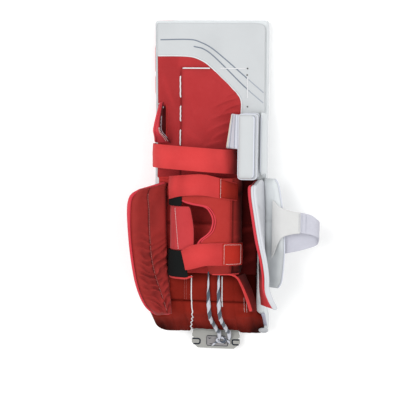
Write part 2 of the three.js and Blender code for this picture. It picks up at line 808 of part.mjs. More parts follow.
// The black hook tabs, the straps that close on them and the sewn patches at the straps' ends.
function calfStraps() {
  const tabs = [
    { name: "hook_tab", foot: HOOK_TAB_FOOT, length: HOOK_TAB_LENGTH, head: -0.3, tip: -0.2 },
    { name: "hook_tab_upper", foot: UPPER_TAB_FOOT, length: UPPER_TAB_LENGTH, head: -0.6, tip: -0.58 },
  ];
  for (const tab of tabs) {
    addNode(
      tab.name,
      archLayer({
        rows: [
          { y: tab.foot, from: -1, to: tab.tip },
          { y: tab.foot + tab.length / 2, from: -1, to: mix(tab.tip, tab.head, 0.5) },
          { y: tab.foot + tab.length, from: -1, to: tab.head },
        ],
        lift: TAB_LIFT,
        thickness: TAB_THICKNESS,
        steps: 8,
      }),
      "black",
      0.9,
    );
  }
  const straps = [
    {
      name: "upper",
      up: UPPER_STRAP_UP,
      edges: [
        { place: -0.94, low: -0.57, high: 0.48 },
        { place: -0.6, low: -0.41, high: 0.55 },
        { place: 0.0, low: -0.35, high: 0.61 },
        { place: 0.42, low: -0.46, high: 0.46 },
        { place: 0.86, low: -0.57, high: 0.22 },
      ],
      patch: 0.4,
    },
    {
      name: "lower",
      up: LOWER_STRAP_UP,
      edges: [
        { place: -0.5, low: -0.63, high: 0.3 },
        { place: -0.3, low: -0.57, high: 0.52 },
        { place: 0.1, low: -0.39, high: 0.63 },
        { place: 0.57, low: -0.37, high: 0.67 },
        { place: 0.985, low: -0.37, high: 0.65 },
      ],
      patch: 0.55,
    },
  ];
  for (const strap of straps) {
    const [first, last] = [strap.edges[0].place, strap.edges[strap.edges.length - 1].place];
    const places = archPlaces(first, last, 15);
    const band = (within, lift, thickness, inset) => {
      const layer = (height) =>
        [0, 0.5, 1].map((v) =>
          within.map((place) => {
            const low = lookUp(strap.edges, "place", place, "low") * CALF_STRAP_WIDTH + inset;
            const high = lookUp(strap.edges, "place", place, "high") * CALF_STRAP_WIDTH - inset;
            return archPoint(CALF_ARCH, place, strap.up + mix(low, high, v), height);
          }),
        );
      return shell(layer(lift + thickness), layer(lift));
    };
    addNode(`calf_strap_${strap.name}`, band(places, STRAP_LIFT, STRAP_THICKNESS, 0), "strapRed");
    const patchLift = STRAP_LIFT + STRAP_THICKNESS + CLEAR;
    const patchPlaces = places.filter((place) => place >= strap.patch);
    addNode(`calf_patch_${strap.name}`, band(patchPlaces, patchLift, PATCH_THICKNESS, 2), "red");
  }
}

// The outer calf wing: a padded wing from its root on the lining out past the board's edge.
const OUTER_WING = [
  { up: 0.0, root: 0.12, reach: 0.3, rise: 0.25, sag: 0.0 },
  { up: 0.03, root: 0.1, reach: 0.42, rise: 0.45, sag: 0.0 },
  { up: 0.08, root: 0.09, reach: 0.55, rise: 0.66, sag: 0.0 },
  { up: 0.18, root: 0.05, reach: 0.7, rise: 0.84, sag: 0.0 },
  { up: 0.3, root: 0.0, reach: 0.81, rise: 0.94, sag: 0.0 },
  { up: 0.5, root: 0.0, reach: 0.92, rise: 1.0, sag: 0.0 },
  { up: 0.68, root: 0.0, reach: 0.98, rise: 1.0, sag: 0.0 },
  { up: 0.84, root: 0.0, reach: 0.98, rise: 1.0, sag: 0.0 },
  { up: 0.93, root: 0.0, reach: 0.93, rise: 0.95, sag: 0.012 },
  { up: 0.98, root: 0.0, reach: 0.72, rise: 0.7, sag: -0.01 },
  { up: 1.0, root: 0.0, reach: 0.5, rise: 0.42, sag: -0.02 },
];

function outerWing() {
  const grid = OUTER_WING.map((row) =>
    [0, 0.1, 0.3, 0.5, 0.7, 0.9, 1].map((u) => {
      const root = OUTER_WING_ROOT + OUTER_WING_REACH * row.root;
      const tip = OUTER_WING_ROOT - OUTER_WING_REACH * row.reach;
      return new THREE.Vector3(
        mix(root, tip, u),
        OUTER_WING_FOOT + OUTER_WING_LENGTH * (row.up - row.sag * u * u),
        SEAT + OUTER_WING_RISE * row.rise * u ** 1.35,
      );
    }),
  );
  const outer = offset(grid, -1, (u, v) => OUTER_WING_THICKNESS * crown(u, v, 0.12, 0.35));
  addNode("wing_outer", shell(outer, grid), "darkRed");
}

// The inner calf wing: upright beside the calf at the top, flared out at the boot.
const INNER_WING = [
  { up: 0.0, root: 6, edge: 41, rise: 0.6 },
  { up: 0.08, root: 4, edge: 30, rise: 0.7 },
  { up: 0.19, root: 2, edge: 21, rise: 0.8 },
  { up: 0.3, root: 1, edge: 20, rise: 0.88 },
  { up: 0.42, root: 0, edge: 15, rise: 0.95 },
  { up: 0.58, root: 0, edge: 4, rise: 1.0 },
  { up: 0.8, root: 0, edge: -8, rise: 1.0 },
  { up: 0.92, root: -1, edge: -14, rise: 1.0 },
  { up: 0.98, root: -2, edge: -15, rise: 0.99 },
  { up: 1.0, root: -3, edge: -14, rise: 0.95 },
];

function innerWing() {
  const face = (inwards) =>
    INNER_WING.map((row, r) =>
      [0, 0.08, 0.35, 0.65, 0.92, 1].map((u) => {
        const v = r / (INNER_WING.length - 1);
        return new THREE.Vector3(
          INNER_WING_ROOT + mix(row.root, row.edge, u) - inwards(u, v),
          INNER_WING_FOOT + INNER_WING_LENGTH * row.up,
          CLEAR + INNER_WING_HEIGHT * row.rise * u,
        );
      }),
    );
  const inside = (u, v) => INNER_WING_THICKNESS * crown(u, v, 0.1, 0.5);
  addNode("wing_inner", shell(face(() => 0), face(inside)), "white");
  addNode(
    "wing_inner_lining",
    shell(
      face(() => INNER_WING_THICKNESS + CLEAR),
      face((u, v) => INNER_WING_THICKNESS + CLEAR + INNER_WING_LINING * crown(u, v, 0.1, 0.5)),
    ),
    "darkRed",
  );
}

// The padded flap outside the inner wing; sections up its length.
const WING_FLAP = [
  { up: 0.0, reach: 0.7 },
  { up: 0.04, reach: 0.85 },
  { up: 0.12, reach: 0.93 },
  { up: 0.35, reach: 1.0 },
  { up: 0.6, reach: 0.93 },
  { up: 0.8, reach: 0.81 },
  { up: 0.96, reach: 0.64 },
  { up: 1.0, reach: 0.5 },
];

// How far out the inner wing's outer face stands at a height up the leg and off the board.
function innerWingFace(y, z) {
  const up = clamp((y - INNER_WING_FOOT) / INNER_WING_LENGTH, 0, 1);
  const value = (name) => lookUp(INNER_WING, "up", up, name);
  const share = (z - CLEAR) / (INNER_WING_HEIGHT * value("rise"));
  return INNER_WING_ROOT + mix(value("root"), value("edge"), share);
}

function flapPoint(y, u) {
  const up = (y - WING_FLAP_FOOT) / WING_FLAP_LENGTH;
  const reach = lookUp(WING_FLAP, "up", up, "reach");
  const left = 2 * CLEAR + Math.max(innerWingFace(y, CLEAR), innerWingFace(y, WING_FLAP_THICKNESS));
  const right = INNER_WING_ROOT + WING_FLAP_REACH * reach;
  return new THREE.Vector3(mix(left, right, u), y, CLEAR + WING_FLAP_LIFT * u ** 1.3);
}

function wingFlap() {
  const own = WING_FLAP.map((row) => WING_FLAP_FOOT + WING_FLAP_LENGTH * row.up);
  const shared = INNER_WING.map((row) => INNER_WING_FOOT + INNER_WING_LENGTH * row.up);
  const inside = shared.filter((y) => own.every((other) => Math.abs(y - other) > SEAM));
  const rows = [...own, ...inside.filter((y) => y > own[0] && y < own[own.length - 1])];
  rows.sort((a, b) => a - b);
  const grid = rows.map((y) => [0, 0.1, 0.35, 0.65, 0.9, 1].map((u) => flapPoint(y, u)));
  const outer = offset(grid, 1, (u, v) => WING_FLAP_THICKNESS * crown(u, v, 0.1, 0.45));
  addNode("wing_flap", shell(outer, grid), "white");
}

// The ivory elastic strap that fans out over the flap, and the hook tab folded at its end.
const SIDE_STRAP = [
  { out: 0.0, low: 0.0, high: 1.0, lift: 0.0 },
  { out: 0.09, low: 0.1, high: 0.97, lift: 0.2 },
  { out: 0.2, low: 0.25, high: 0.91, lift: 0.4 },
  { out: 0.34, low: 0.36, high: 0.87, lift: 0.62 },
  { out: 0.6, low: 0.42, high: 0.83, lift: 0.85 },
  { out: 1.0, low: 0.455, high: 0.8, lift: 1.0 },
];

function sideStrap() {
  const fanFoot = WING_FLAP_FOOT + WING_FLAP_LENGTH * 0.28;
  const start = INNER_WING_ROOT + WING_FLAP_REACH * 0.42;
  const grid = SIDE_STRAP.map((row) =>
    [0, 0.25, 0.5, 0.75, 1].map(
      (v) =>
        new THREE.Vector3(
          mix(start, SIDE_STRAP_END, row.out),
          fanFoot + SIDE_STRAP_FAN * mix(row.low, row.high, v),
          SIDE_STRAP_SEAT + SIDE_STRAP_RISE * row.lift,
        ),
    ),
  );
  addNode("side_strap", shell(offset(grid, 1, STRAP_THICKNESS), grid), "ivory");

  const end = SIDE_STRAP[SIDE_STRAP.length - 1];
  const middle = fanFoot + SIDE_STRAP_FAN * mix(end.low, end.high, 0.5);
  const top = SIDE_STRAP_SEAT + SIDE_STRAP_RISE;
  const tab = [
    { out: 0.0, drop: 0, down: 0, width: 1.0 },
    { out: 0.6, drop: 0, down: 5, width: 0.96 },
    { out: 0.88, drop: 3, down: 12, width: 0.88 },
    { out: 1.0, drop: 11, down: 18, width: 0.84 },
    { out: 0.97, drop: 22, down: 28, width: 0.84 },
    { out: 0.8, drop: SIDE_TAB_DROP, down: 38, width: 0.86 },
    { out: 0.8 - SIDE_TAB_RETURN / 2 / SIDE_TAB_LENGTH, drop: SIDE_TAB_DROP + 4, down: 50, width: 0.9 },
    { out: 0.8 - SIDE_TAB_RETURN / SIDE_TAB_LENGTH, drop: SIDE_TAB_DROP + 4, down: 58, width: 0.92 },
  ];
  const tabGrid = refine(tab, 2).map((row) =>
    [-0.5, 0, 0.5].map(
      (v) =>
        new THREE.Vector3(
          SIDE_STRAP_END + CLEAR + SIDE_TAB_LENGTH * row.out,
          middle - row.down + SIDE_STRAP_WIDTH * row.width * v,
          top - row.drop,
        ),
    ),
  );
  addNode("side_strap_tab", shell(offset(tabGrid, 1, STRAP_THICKNESS), tabGrid), "grey");
}

// The toe plate: a flange on the boot's back face, bent out past the toe, with its patch and laces.
function toe() {
  const half = TOE_PLATE_WIDTH / 2;
  const bendPoint = onPad(0, TOE_END - 6, CLEAR);
  const profile = (h) => [
    onPad(0, TOE_END + TOE_PLATE_FLANGE, CLEAR + h),
    onPad(0, TOE_END, CLEAR + h),
    new THREE.Vector3(0, bendPoint.y - 2 - h * 0.3, bendPoint.z - 1 + h * 0.9),
    new THREE.Vector3(0, bendPoint.y - TOE_PLATE_LENGTH * 0.76, bendPoint.z - 3.3 + h),
    new THREE.Vector3(0, bendPoint.y - TOE_PLATE_LENGTH, bendPoint.z - 4 + h),
  ];
  const sides = [
    [-half + 3, -half + 1, -half, -half, -half + 14],
    [half - 3, half - 1, half, half, half - 14],
  ];
  const plateLayer = (h) =>
    profile(h).map((point, r) =>
      [0, 0.5, 1].map((u) => new THREE.Vector3(mix(sides[0][r], sides[1][r], u), point.y, point.z)),
    );
  addNode("toe_plate", shell(plateLayer(TOE_PLATE_THICKNESS), plateLayer(0)), "plate", 0.6);

  const plateTop = profile(TOE_PLATE_THICKNESS + CLEAR);
  const patchMiddle = (TOE_LACE_LEFT + TOE_LACE_SPACING / 2) * 0.3;
  const patchLayer = (lift) =>
    [0.18, 0.3, 0.8, 0.92].map((share, r) =>
      [-1, -0.8, 0.8, 1].map((side) => {
        const narrow = r === 0 || r === 3 ? 0.9 : 1;
        const place = plateTop[2].clone().lerp(plateTop[4], share);
        return new THREE.Vector3(
          patchMiddle + (TOE_PATCH_WIDTH / 2) * side * narrow,
          place.y,
          place.z + lift * (Math.abs(side) === 1 ? 0.5 : 1),
        );
      }),
    );
  addNode("toe_patch", shell(patchLayer(TOE_PATCH_THICKNESS), patchLayer(0)), "plate", 0.6);

  const lift = 2 * CLEAR + BOOT_LINING_THICKNESS;
  const overFlange = 2 * CLEAR + TOE_PLATE_THICKNESS;
  const patchTop = plateTop[2].clone().lerp(plateTop[4], 0.4);
  const end = new THREE.Vector3(0, patchTop.y, patchTop.z + TOE_PATCH_THICKNESS + CLEAR);
  for (const [name, x] of [
    ["toe_lace_left", TOE_LACE_LEFT],
    ["toe_lace_right", TOE_LACE_LEFT + TOE_LACE_SPACING],
  ]) {
    const run = (h) => [
      ...stationsBetween(TOE_END + TOE_PLATE_FLANGE + 12, SHIN_START)
        .reverse()
        .map((s) => onPad(x, s, lift + h)),
      onPad(x, TOE_END + TOE_PLATE_FLANGE * 0.4, overFlange + 9 + h),
      new THREE.Vector3(x, end.y + 14, end.z + 5 + h),
      new THREE.Vector3(x, end.y, end.z + h),
    ];
    const top = (h) => onPad(x, TOE_LACE_TOP, LINING_TOP + CLEAR + 3 + h);
    const layer = (h) =>
      [top(h), ...run(h)].map((point) =>
        [-0.5, 0.5].map((side) => point.clone().setX(x + TOE_LACE_WIDTH * side)),
      );
    addNode(name, shell(layer(TOE_LACE_THICKNESS), layer(0)), "lace");
  }
}

// The thin strap down the inner side of the boot and its buckle.
function bootStrap() {
  const left = BOOT_STRAP_ACROSS - BOOT_STRAP_WIDTH / 2;
  const from = TOE_END + 22;
  addNode(
    "boot_strap",
    padStrip({
      left,
      right: left + BOOT_STRAP_WIDTH,
      from,
      to: from + BOOT_STRAP_LENGTH,
      base: CLEAR,
      thickness: STRAP_THICKNESS,
    }),
    "grey",
  );
  const sides = 12;
  const middle = { x: BOOT_STRAP_ACROSS - BOOT_STRAP_WIDTH, s: from - BUCKLE_WIDTH / 2 - CLEAR };
  const ring = (h, share) =>
    Array.from({ length: sides }, (_, i) => {
      const angle = (2 * Math.PI * i) / sides;
      return onPad(
        middle.x + (BUCKLE_LENGTH / 2) * share * Math.cos(angle),
        middle.s + (BUCKLE_WIDTH / 2) * share * Math.sin(angle),
        h,
      );
    });
  const base = 2 * CLEAR + BOOT_LINING_THICKNESS;
  const outline = ring(0, 1).map((point) => new THREE.Vector2(point.x, point.y));
  const shoulder = base + BUCKLE_THICKNESS * 0.6;
  addNode(
    "boot_buckle",
    loft([ring(base, 1), ring(shoulder, 1), ring(base + BUCKLE_THICKNESS, 0.7)], outline),
    "grey",
    0.4,
  );
}

addNode("face_board", board(), "white");
addNode("outer_roll", outerRoll(), "red");
backPanels();
bootLinings();
laces();
kneeBlock();
kneeFlap();
kneeStrap();
calfWraps();
calfStraps();
outerWing();
innerWing();
wingFlap();
sideStrap();
toe();
bootStrap();

// The pad lies on its toe and on the front face of its thigh: the lean is the smallest slope
// from the toe's front corner to any later point of the front face.
const toeCorner = onPad(0, TOE_END, -BOARD_THICKNESS);
const frontFace = stationsBetween(SHIN_END, TOP_END).map((s) => onPad(0, s, -BOARD_THICKNESS));
const lean = Math.min(
  ...frontFace.map((point) => Math.atan2(point.z - toeCorner.z, point.y - toeCorner.y)),
);
rootNodes.rotation.x = -lean;

// The origin is the middle of the bottom of the whole part's box.
const part = new THREE.Group();
part.add(rootNodes);
part.updateMatrixWorld(true);
const box = new THREE.Box3().setFromObject(part, true);
rootNodes.position.set(-(box.min.x + box.max.x) / 2, -(box.min.y + box.max.y) / 2, -box.min.z);

export default part;
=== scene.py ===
"""The looks of a goalie's leg pad for the left leg, lying on its front face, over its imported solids.

Sizes are millimetres in the pad's own frame: x runs across to the inner side of the leg, y up the shin,
and z stands off the board's back, which is z = 0. PLACE turns and moves them to the row's metres.
"""
import json
import math

import bmesh
import bpy
from mathutils import Matrix, Vector, noise

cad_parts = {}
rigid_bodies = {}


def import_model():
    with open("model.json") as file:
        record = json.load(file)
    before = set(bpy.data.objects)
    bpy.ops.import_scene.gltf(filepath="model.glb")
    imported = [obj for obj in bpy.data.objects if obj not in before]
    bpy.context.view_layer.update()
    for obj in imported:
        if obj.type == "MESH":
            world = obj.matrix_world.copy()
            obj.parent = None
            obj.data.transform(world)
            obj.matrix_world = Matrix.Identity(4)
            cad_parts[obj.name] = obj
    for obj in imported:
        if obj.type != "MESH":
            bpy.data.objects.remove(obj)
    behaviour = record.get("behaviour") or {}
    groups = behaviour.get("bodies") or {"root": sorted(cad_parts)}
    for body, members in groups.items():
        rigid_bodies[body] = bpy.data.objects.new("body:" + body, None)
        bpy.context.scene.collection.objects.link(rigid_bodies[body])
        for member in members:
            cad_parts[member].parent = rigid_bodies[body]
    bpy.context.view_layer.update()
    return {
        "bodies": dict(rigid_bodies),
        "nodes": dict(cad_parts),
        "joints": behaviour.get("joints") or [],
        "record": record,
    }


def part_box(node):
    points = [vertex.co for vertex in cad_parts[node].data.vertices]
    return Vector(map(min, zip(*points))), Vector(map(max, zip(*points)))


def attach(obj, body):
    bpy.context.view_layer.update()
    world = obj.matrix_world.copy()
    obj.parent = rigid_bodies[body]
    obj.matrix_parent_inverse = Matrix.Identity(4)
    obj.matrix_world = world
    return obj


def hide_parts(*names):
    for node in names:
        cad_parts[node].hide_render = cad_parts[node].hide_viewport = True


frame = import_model()

# Sizes of the board and of what lies on it, the same as those of the solids
HALF_WIDTH = 139.7
BOARD_THICKNESS = 50
BOOT_LENGTH = 115
BOOT_RADIUS = 70
BOOT_ANGLE = math.radians(60)
SHIN_START = 100
SHIN_END = 520
THIGH_RADIUS = 500
THIGH_ANGLE = math.radians(5.5)
THIGH_LENGTH = 204
TOE_END = SHIN_START - BOOT_RADIUS * BOOT_ANGLE - BOOT_LENGTH
TOP_END = SHIN_END + THIGH_RADIUS * THIGH_ANGLE + THIGH_LENGTH
CLEAR = 0.4
SEAT = 10.8
# Painted shade: how much the relief's grooves darken the cloth
GROOVE_PAINTED_SHADE = 0.09
STITCH_SHARES = (0.14, 0.32, 0.68, 0.86)
SHADE_DEPTH = 0.9


def clamp(value, low=0.0, high=1.0):
    return min(max(value, low), high)


def mix(start, end, share):
    return start + (end - start) * share


def smooth(value, low=0.0, high=1.0):
    share = clamp((value - low) / (high - low))
    return share * share * (3 - 2 * share)


def bell(distance, width):
    return math.exp(-((distance / width) ** 2))


def look_up(rows, place, column=1):
    """The value in one column of a table at a place in its first column, on a smooth curve."""
    if place <= rows[0][0]:
        return rows[0][column]
    if place >= rows[-1][0]:
        return rows[-1][column]
    i = next(k for k in range(1, len(rows)) if rows[k][0] >= place)
    a, b = rows[i - 1], rows[i]
    before = rows[max(i - 2, 0)]
    after = rows[min(i + 1, len(rows) - 1)]
    span = b[0] - a[0]
    t = (place - a[0]) / span
    slope_a = (b[column] - before[column]) / max(b[0] - before[0], 1e-9) * span
    slope_b = (after[column] - a[column]) / max(after[0] - a[0], 1e-9) * span
    return (
        (2 * t**3 - 3 * t**2 + 1) * a[column]
        + (t**3 - 2 * t**2 + t) * slope_a
        + (3 * t**2 - 2 * t**3) * b[column]
        + (t**3 - t**2) * slope_b
    )


def row_at(rows, place):
    """The values of all columns of a table at a place in its first column."""
    return tuple(look_up(rows, place, column) for column in range(1, len(rows[0])))


def look_up_straight(rows, place):
    """The value at a place in a table, on straight lines between its rows."""
    for (a, va), (b, vb) in zip(rows, rows[1:]):
        if place <= b:
            return mix(va, vb, clamp((place - a) / (b - a)))
    return rows[-1][1]


def spine(s):
    """The board's back face as a bent line: y, z and tilt at a distance s along it."""
    if s < SHIN_START:
        bend = min((SHIN_START - s) / BOOT_RADIUS, BOOT_ANGLE)
        straight = max(SHIN_START - s - BOOT_RADIUS * BOOT_ANGLE, 0)
        y = SHIN_START - BOOT_RADIUS * math.sin(bend) - straight * math.cos(bend)
        z = -BOOT_RADIUS * (1 - math.cos(bend)) - straight * math.sin(bend)
        return y, z, bend
    bend = clamp((s - SHIN_END) / THIGH_RADIUS, 0, THIGH_ANGLE)
    straight = max(s - SHIN_END - THIGH_RADIUS * THIGH_ANGLE, 0)
    y = min(s, SHIN_END) + THIGH_RADIUS * math.sin(bend) + straight * math.cos(bend)
    z = THIGH_RADIUS * (1 - math.cos(bend)) + straight * math.sin(bend)
    return y, z, bend


def on_pad(x, s, h):
    """A point x across the board, s along its back face and h off that face."""
    y, z, tilt = spine(s)
    return Vector((x, y - h * math.sin(tilt), z + h * math.cos(tilt)))


def find_place():
    """The turn and move from the pad's millimetres to the row's metres, found from the board's box."""
    toe = on_pad(0, TOE_END, -BOARD_THICKNESS)
    front = [on_pad(0, mix(SHIN_END, TOP_END, i / 60), -BOARD_THICKNESS) for i in range(61)]
    lean = min(math.atan2(p.z - toe.z, p.y - toe.y) for p in front)
    turn = Matrix.Rotation(-lean, 4, "X")
    low, high = [Vector(corner) * 1000 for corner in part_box("face_board")]
    turned_toe = turn @ toe
    turned_back = turn @ on_pad(0, TOE_END, 0)
    lowest = Vector((0, min(turned_toe.y, turned_back.y), turned_toe.z))
    move = Vector(((low.x + high.x) / 2, low.y - lowest.y, low.z - lowest.z))
    return Matrix.Scale(0.001, 4) @ Matrix.Translation(move) @ turn


PLACE = find_place()


def add_piece(name, points, faces, material, coords, shade=None):
    """A mesh piece from points in the pad's frame, attached to the root body."""
    mesh = bpy.data.meshes.new(name)
    mesh.from_pydata([PLACE @ p for p in points], [], faces)
    mesh.update()
    layer = mesh.uv_layers.new(name="cloth")
    for loop in mesh.loops:
        layer.data[loop.index].uv = coords[loop.vertex_index]
    tone = mesh.attributes.new("shade", "FLOAT", "POINT")
    if shade:
        tone.data.foreach_set("value", shade)
    work = bmesh.new()
    work.from_mesh(mesh)
    bmesh.ops.recalc_face_normals(work, faces=work.faces)
    work.to_mesh(mesh)
    work.free()
    mesh.polygons.foreach_set("use_smooth", [True] * len(mesh.polygons))
    mesh.materials.append(material)
    piece = bpy.data.objects.new(name, mesh)
    bpy.context.scene.collection.objects.link(piece)
    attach(piece, "root")
    return piece


def stand_for(piece, *nodes, fill=None):
    """Hides the CAD nodes that a piece stands for; fill is not used."""
    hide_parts(*nodes)


def steps_over(length, pitch, edge=0.0):
    """Shares of a length: close together within an edge distance of both ends, then evenly spaced."""
    near = [edge * share / length for share in (0, 0.04, 0.14, 0.3, 0.5, 0.74)] if edge else [0]
    start = edge / length
    count = max(int(round(length * (1 - 2 * start) / pitch)), 1)
    inside = [mix(start, 1 - start, i / count) for i in range(count + 1)]
    low = near if edge else []
    return low + inside + [1 - share for share in reversed(low)]


def rounded(distance, edge):
    """How full a padded edge is at a distance from it: a quarter circle."""
    left = 1 - clamp(distance / edge)
    return math.sqrt(max(1 - left * left, 0))


def measure(point, samples=24):
    """The length across and up of a surface given by two shares, along its middle lines."""
    across = [point(i / samples, 0.5) for i in range(samples + 1)]
    up = [point(0.5, i / samples) for i in range(samples + 1)]
    total = lambda line: sum((b - a).length for a, b in zip(line, line[1:]))
    return total(across), total(up)


def padded_grid(point, pitch, edge, side=1):
    """The samples of a surface with their normals, its sizes, and the shares they were taken at."""
    width, length = measure(point)
    us = steps_over(width, pitch, min(edge, width / 3))
    vs = steps_over(length, pitch, min(edge, length / 3))
    tiny = 1e-3
    grid = []
    for v in vs:
        row = []
        for u in us:
            here = point(u, v)
            across = point(min(u + tiny, 1), v) - point(max(u - tiny, 0), v)
            up = point(u, min(v + tiny, 1)) - point(u, max(v - tiny, 0))
            normal = across.cross(up)
            normal = normal.normalized() * side if normal.length > 1e-9 else Vector((0, 0, side))
            row.append((here, normal))
        grid.append(row)
    return grid, us, vs, width, length


def shell_faces(rows, columns):
    """The faces of a closed shell between an outer and an inner grid of the same size."""
    at = lambda layer, r, c: (layer * rows + r) * columns + c
    faces = []
    for r in range(rows - 1):
        for c in range(columns - 1):
            faces.append((at(0, r, c), at(0, r, c + 1), at(0, r + 1, c + 1), at(0, r + 1, c)))
            faces.append((at(1, r, c), at(1, r + 1, c), at(1, r + 1, c + 1), at(1, r, c + 1)))
    for r in range(rows - 1):
        for c, order in ((0, 1), (columns - 1, -1)):
            faces.append((at(0, r, c), at(0, r + 1, c), at(1, r + 1, c), at(1, r, c))[::order])
    for c in range(columns - 1):
        for r, order in ((0, -1), (rows - 1, 1)):
            faces.append((at(0, r, c), at(0, r, c + 1), at(1, r, c + 1), at(1, r, c))[::order])
    return faces


def add_panel(name, point, thickness, material, edge=6.0, thin=0.35, pitch=4.0, side=1,
              relief=None, back=0.0, shade=None, inner_shade=None):
    """A padded panel on the surface point(u, v): full inside, thin and rounded at its edges.

    relief(u, v, width, length) adds millimetres, back is how far it bulges on its inner side,
    and shade(u, v) is painted shade in the cloth, as in its corners; its grooves get painted shade too."""
    grid, us, vs, width, length = padded_grid(point, pitch, edge, side)
    outer, inner, coords, tones, inner_tones = [], [], [], [], []
    for v, row in zip(vs, grid):
        for u, (here, normal) in zip(us, row):
            full = rounded(min(u, 1 - u) * width, edge) * rounded(min(v, 1 - v) * length, edge)
            rise = relief(u, v, width, length) * full if relief else 0.0
            outer.append(here + normal * (thickness * mix(thin, 1, full) + rise))
            inner.append(here - normal * back * full)
            coords.append((u * width / 1000, v * length / 1000))
            # Painted shade: the piece's shade plus darkening in the relief's grooves
            tones.append(clamp((shade(u, v) if shade else 0.0) + clamp(-rise * GROOVE_PAINTED_SHADE, -0.1, 0.4)))
            inner_tones.append(inner_shade(u, v) if inner_shade else tones[-1])
    faces = shell_faces(len(vs), len(us))
    return add_piece(name, outer + inner, faces, material, coords * 2, tones + inner_tones)


def frames_along(path, up=None):
    """Side and up directions along a path of points, turning as little as they can."""
    last = len(path) - 1
    tangents = [(path[min(i + 1, last)] - path[max(i - 1, 0)]).normalized() for i in range(last + 1)]
    guide = Vector(up) if up else tangents[0].orthogonal()
    frames = []
    for tangent in tangents:
        flat = guide - tangent * guide.dot(tangent)
        guide = flat.normalized() if flat.length > 1e-6 else tangent.orthogonal().normalized()
        frames.append((guide.cross(tangent), guide))
    return frames


def add_tube(name, paths, radius, material, flat=1.0, sides=10, up=None, twist=0.0, ends=0.35):
    """One piece of tubes along paths. flat is its height as a share of its width, twist is turns a mm."""
    points, faces, coords = [], [], []
    for path in paths:
        start = len(points)
        distance = 0.0
        last = len(path) - 1
        for i, (centre, (across, above)) in enumerate(zip(path, frames_along(path, up))):
            distance += (centre - path[i - 1]).length if i else 0
            size = radius(i / last) if callable(radius) else radius
            if i in (0, last):
                size *= ends
            turn = 2 * math.pi * twist * distance
            for k in range(sides):
                angle = 2 * math.pi * k / sides
                a, b = size * math.cos(angle), size * flat * math.sin(angle)
                wide = a * math.cos(turn) - b * math.sin(turn)
                high = a * math.sin(turn) + b * math.cos(turn)
                points.append(centre + across * wide + above * high)
                coords.append((distance / 1000, k / sides))
        for i in range(last):
            for k in range(sides):
                n = (k + 1) % sides
                low, high = start + i * sides, start + (i + 1) * sides
                faces.append((low + k, low + n, high + n, high + k))
        faces.append(tuple(start + k for k in range(sides)))
        faces.append(tuple(start + last * sides + k for k in reversed(range(sides))))
    return add_piece(name, points, faces, material, coords)


def resample(path, pitch):
    """The same path with its points evenly spaced."""
    lengths = [0.0]
    for a, b in zip(path, path[1:]):
        lengths.append(lengths[-1] + (b - a).length)
    count = max(int(round(lengths[-1] / pitch)), 1)
    points, k = [], 0
    for i in range(count + 1):
        goal = lengths[-1] * i / count
        while k < len(path) - 2 and lengths[k + 1] < goal:
            k += 1
        span = max(lengths[k + 1] - lengths[k], 1e-9)
        points.append(path[k].lerp(path[k + 1], clamp((goal - lengths[k]) / span)))
    return points


def trace(path, start=0.0, end=1.0, count=40):
    """Points of path(share) at even shares from start to end."""
    return [path(mix(start, end, i / count)) for i in range(count + 1)]


def places_along(corners, count):
    """Places (u, v) on the straight lines between corners, count on each line."""
    places = []
    for (u0, v0), (u1, v1) in zip(corners, corners[1:]):
        places += [(mix(u0, u1, k / count), mix(v0, v1, k / count)) for k in range(count)]
    return places


def add_stitches(name, paths, material, pitch=5.0, width=0.9):
    """One piece of sewn thread: a small spindle for each stitch along the paths."""
    dashes = []
    for path in paths:
        fine = resample(path, pitch)
        for a, b in zip(fine, fine[1:]):
            dashes.append([a.lerp(b, share) for share in STITCH_SHARES])
    return add_tube(name, dashes, width / 2, material, sides=6, ends=0.4)


# Materials: each is a colour that drifts a little, with its own weave, grain or ribs
def from_screen(red, green, blue):
    """A screen colour of 0 to 255 as the linear colour that a shader takes."""
    linear = [((c / 255 + 0.055) / 1.055) ** 2.4 if c > 10 else c / 3294.6 for c in (red, green, blue)]
    return (*linear, 1)


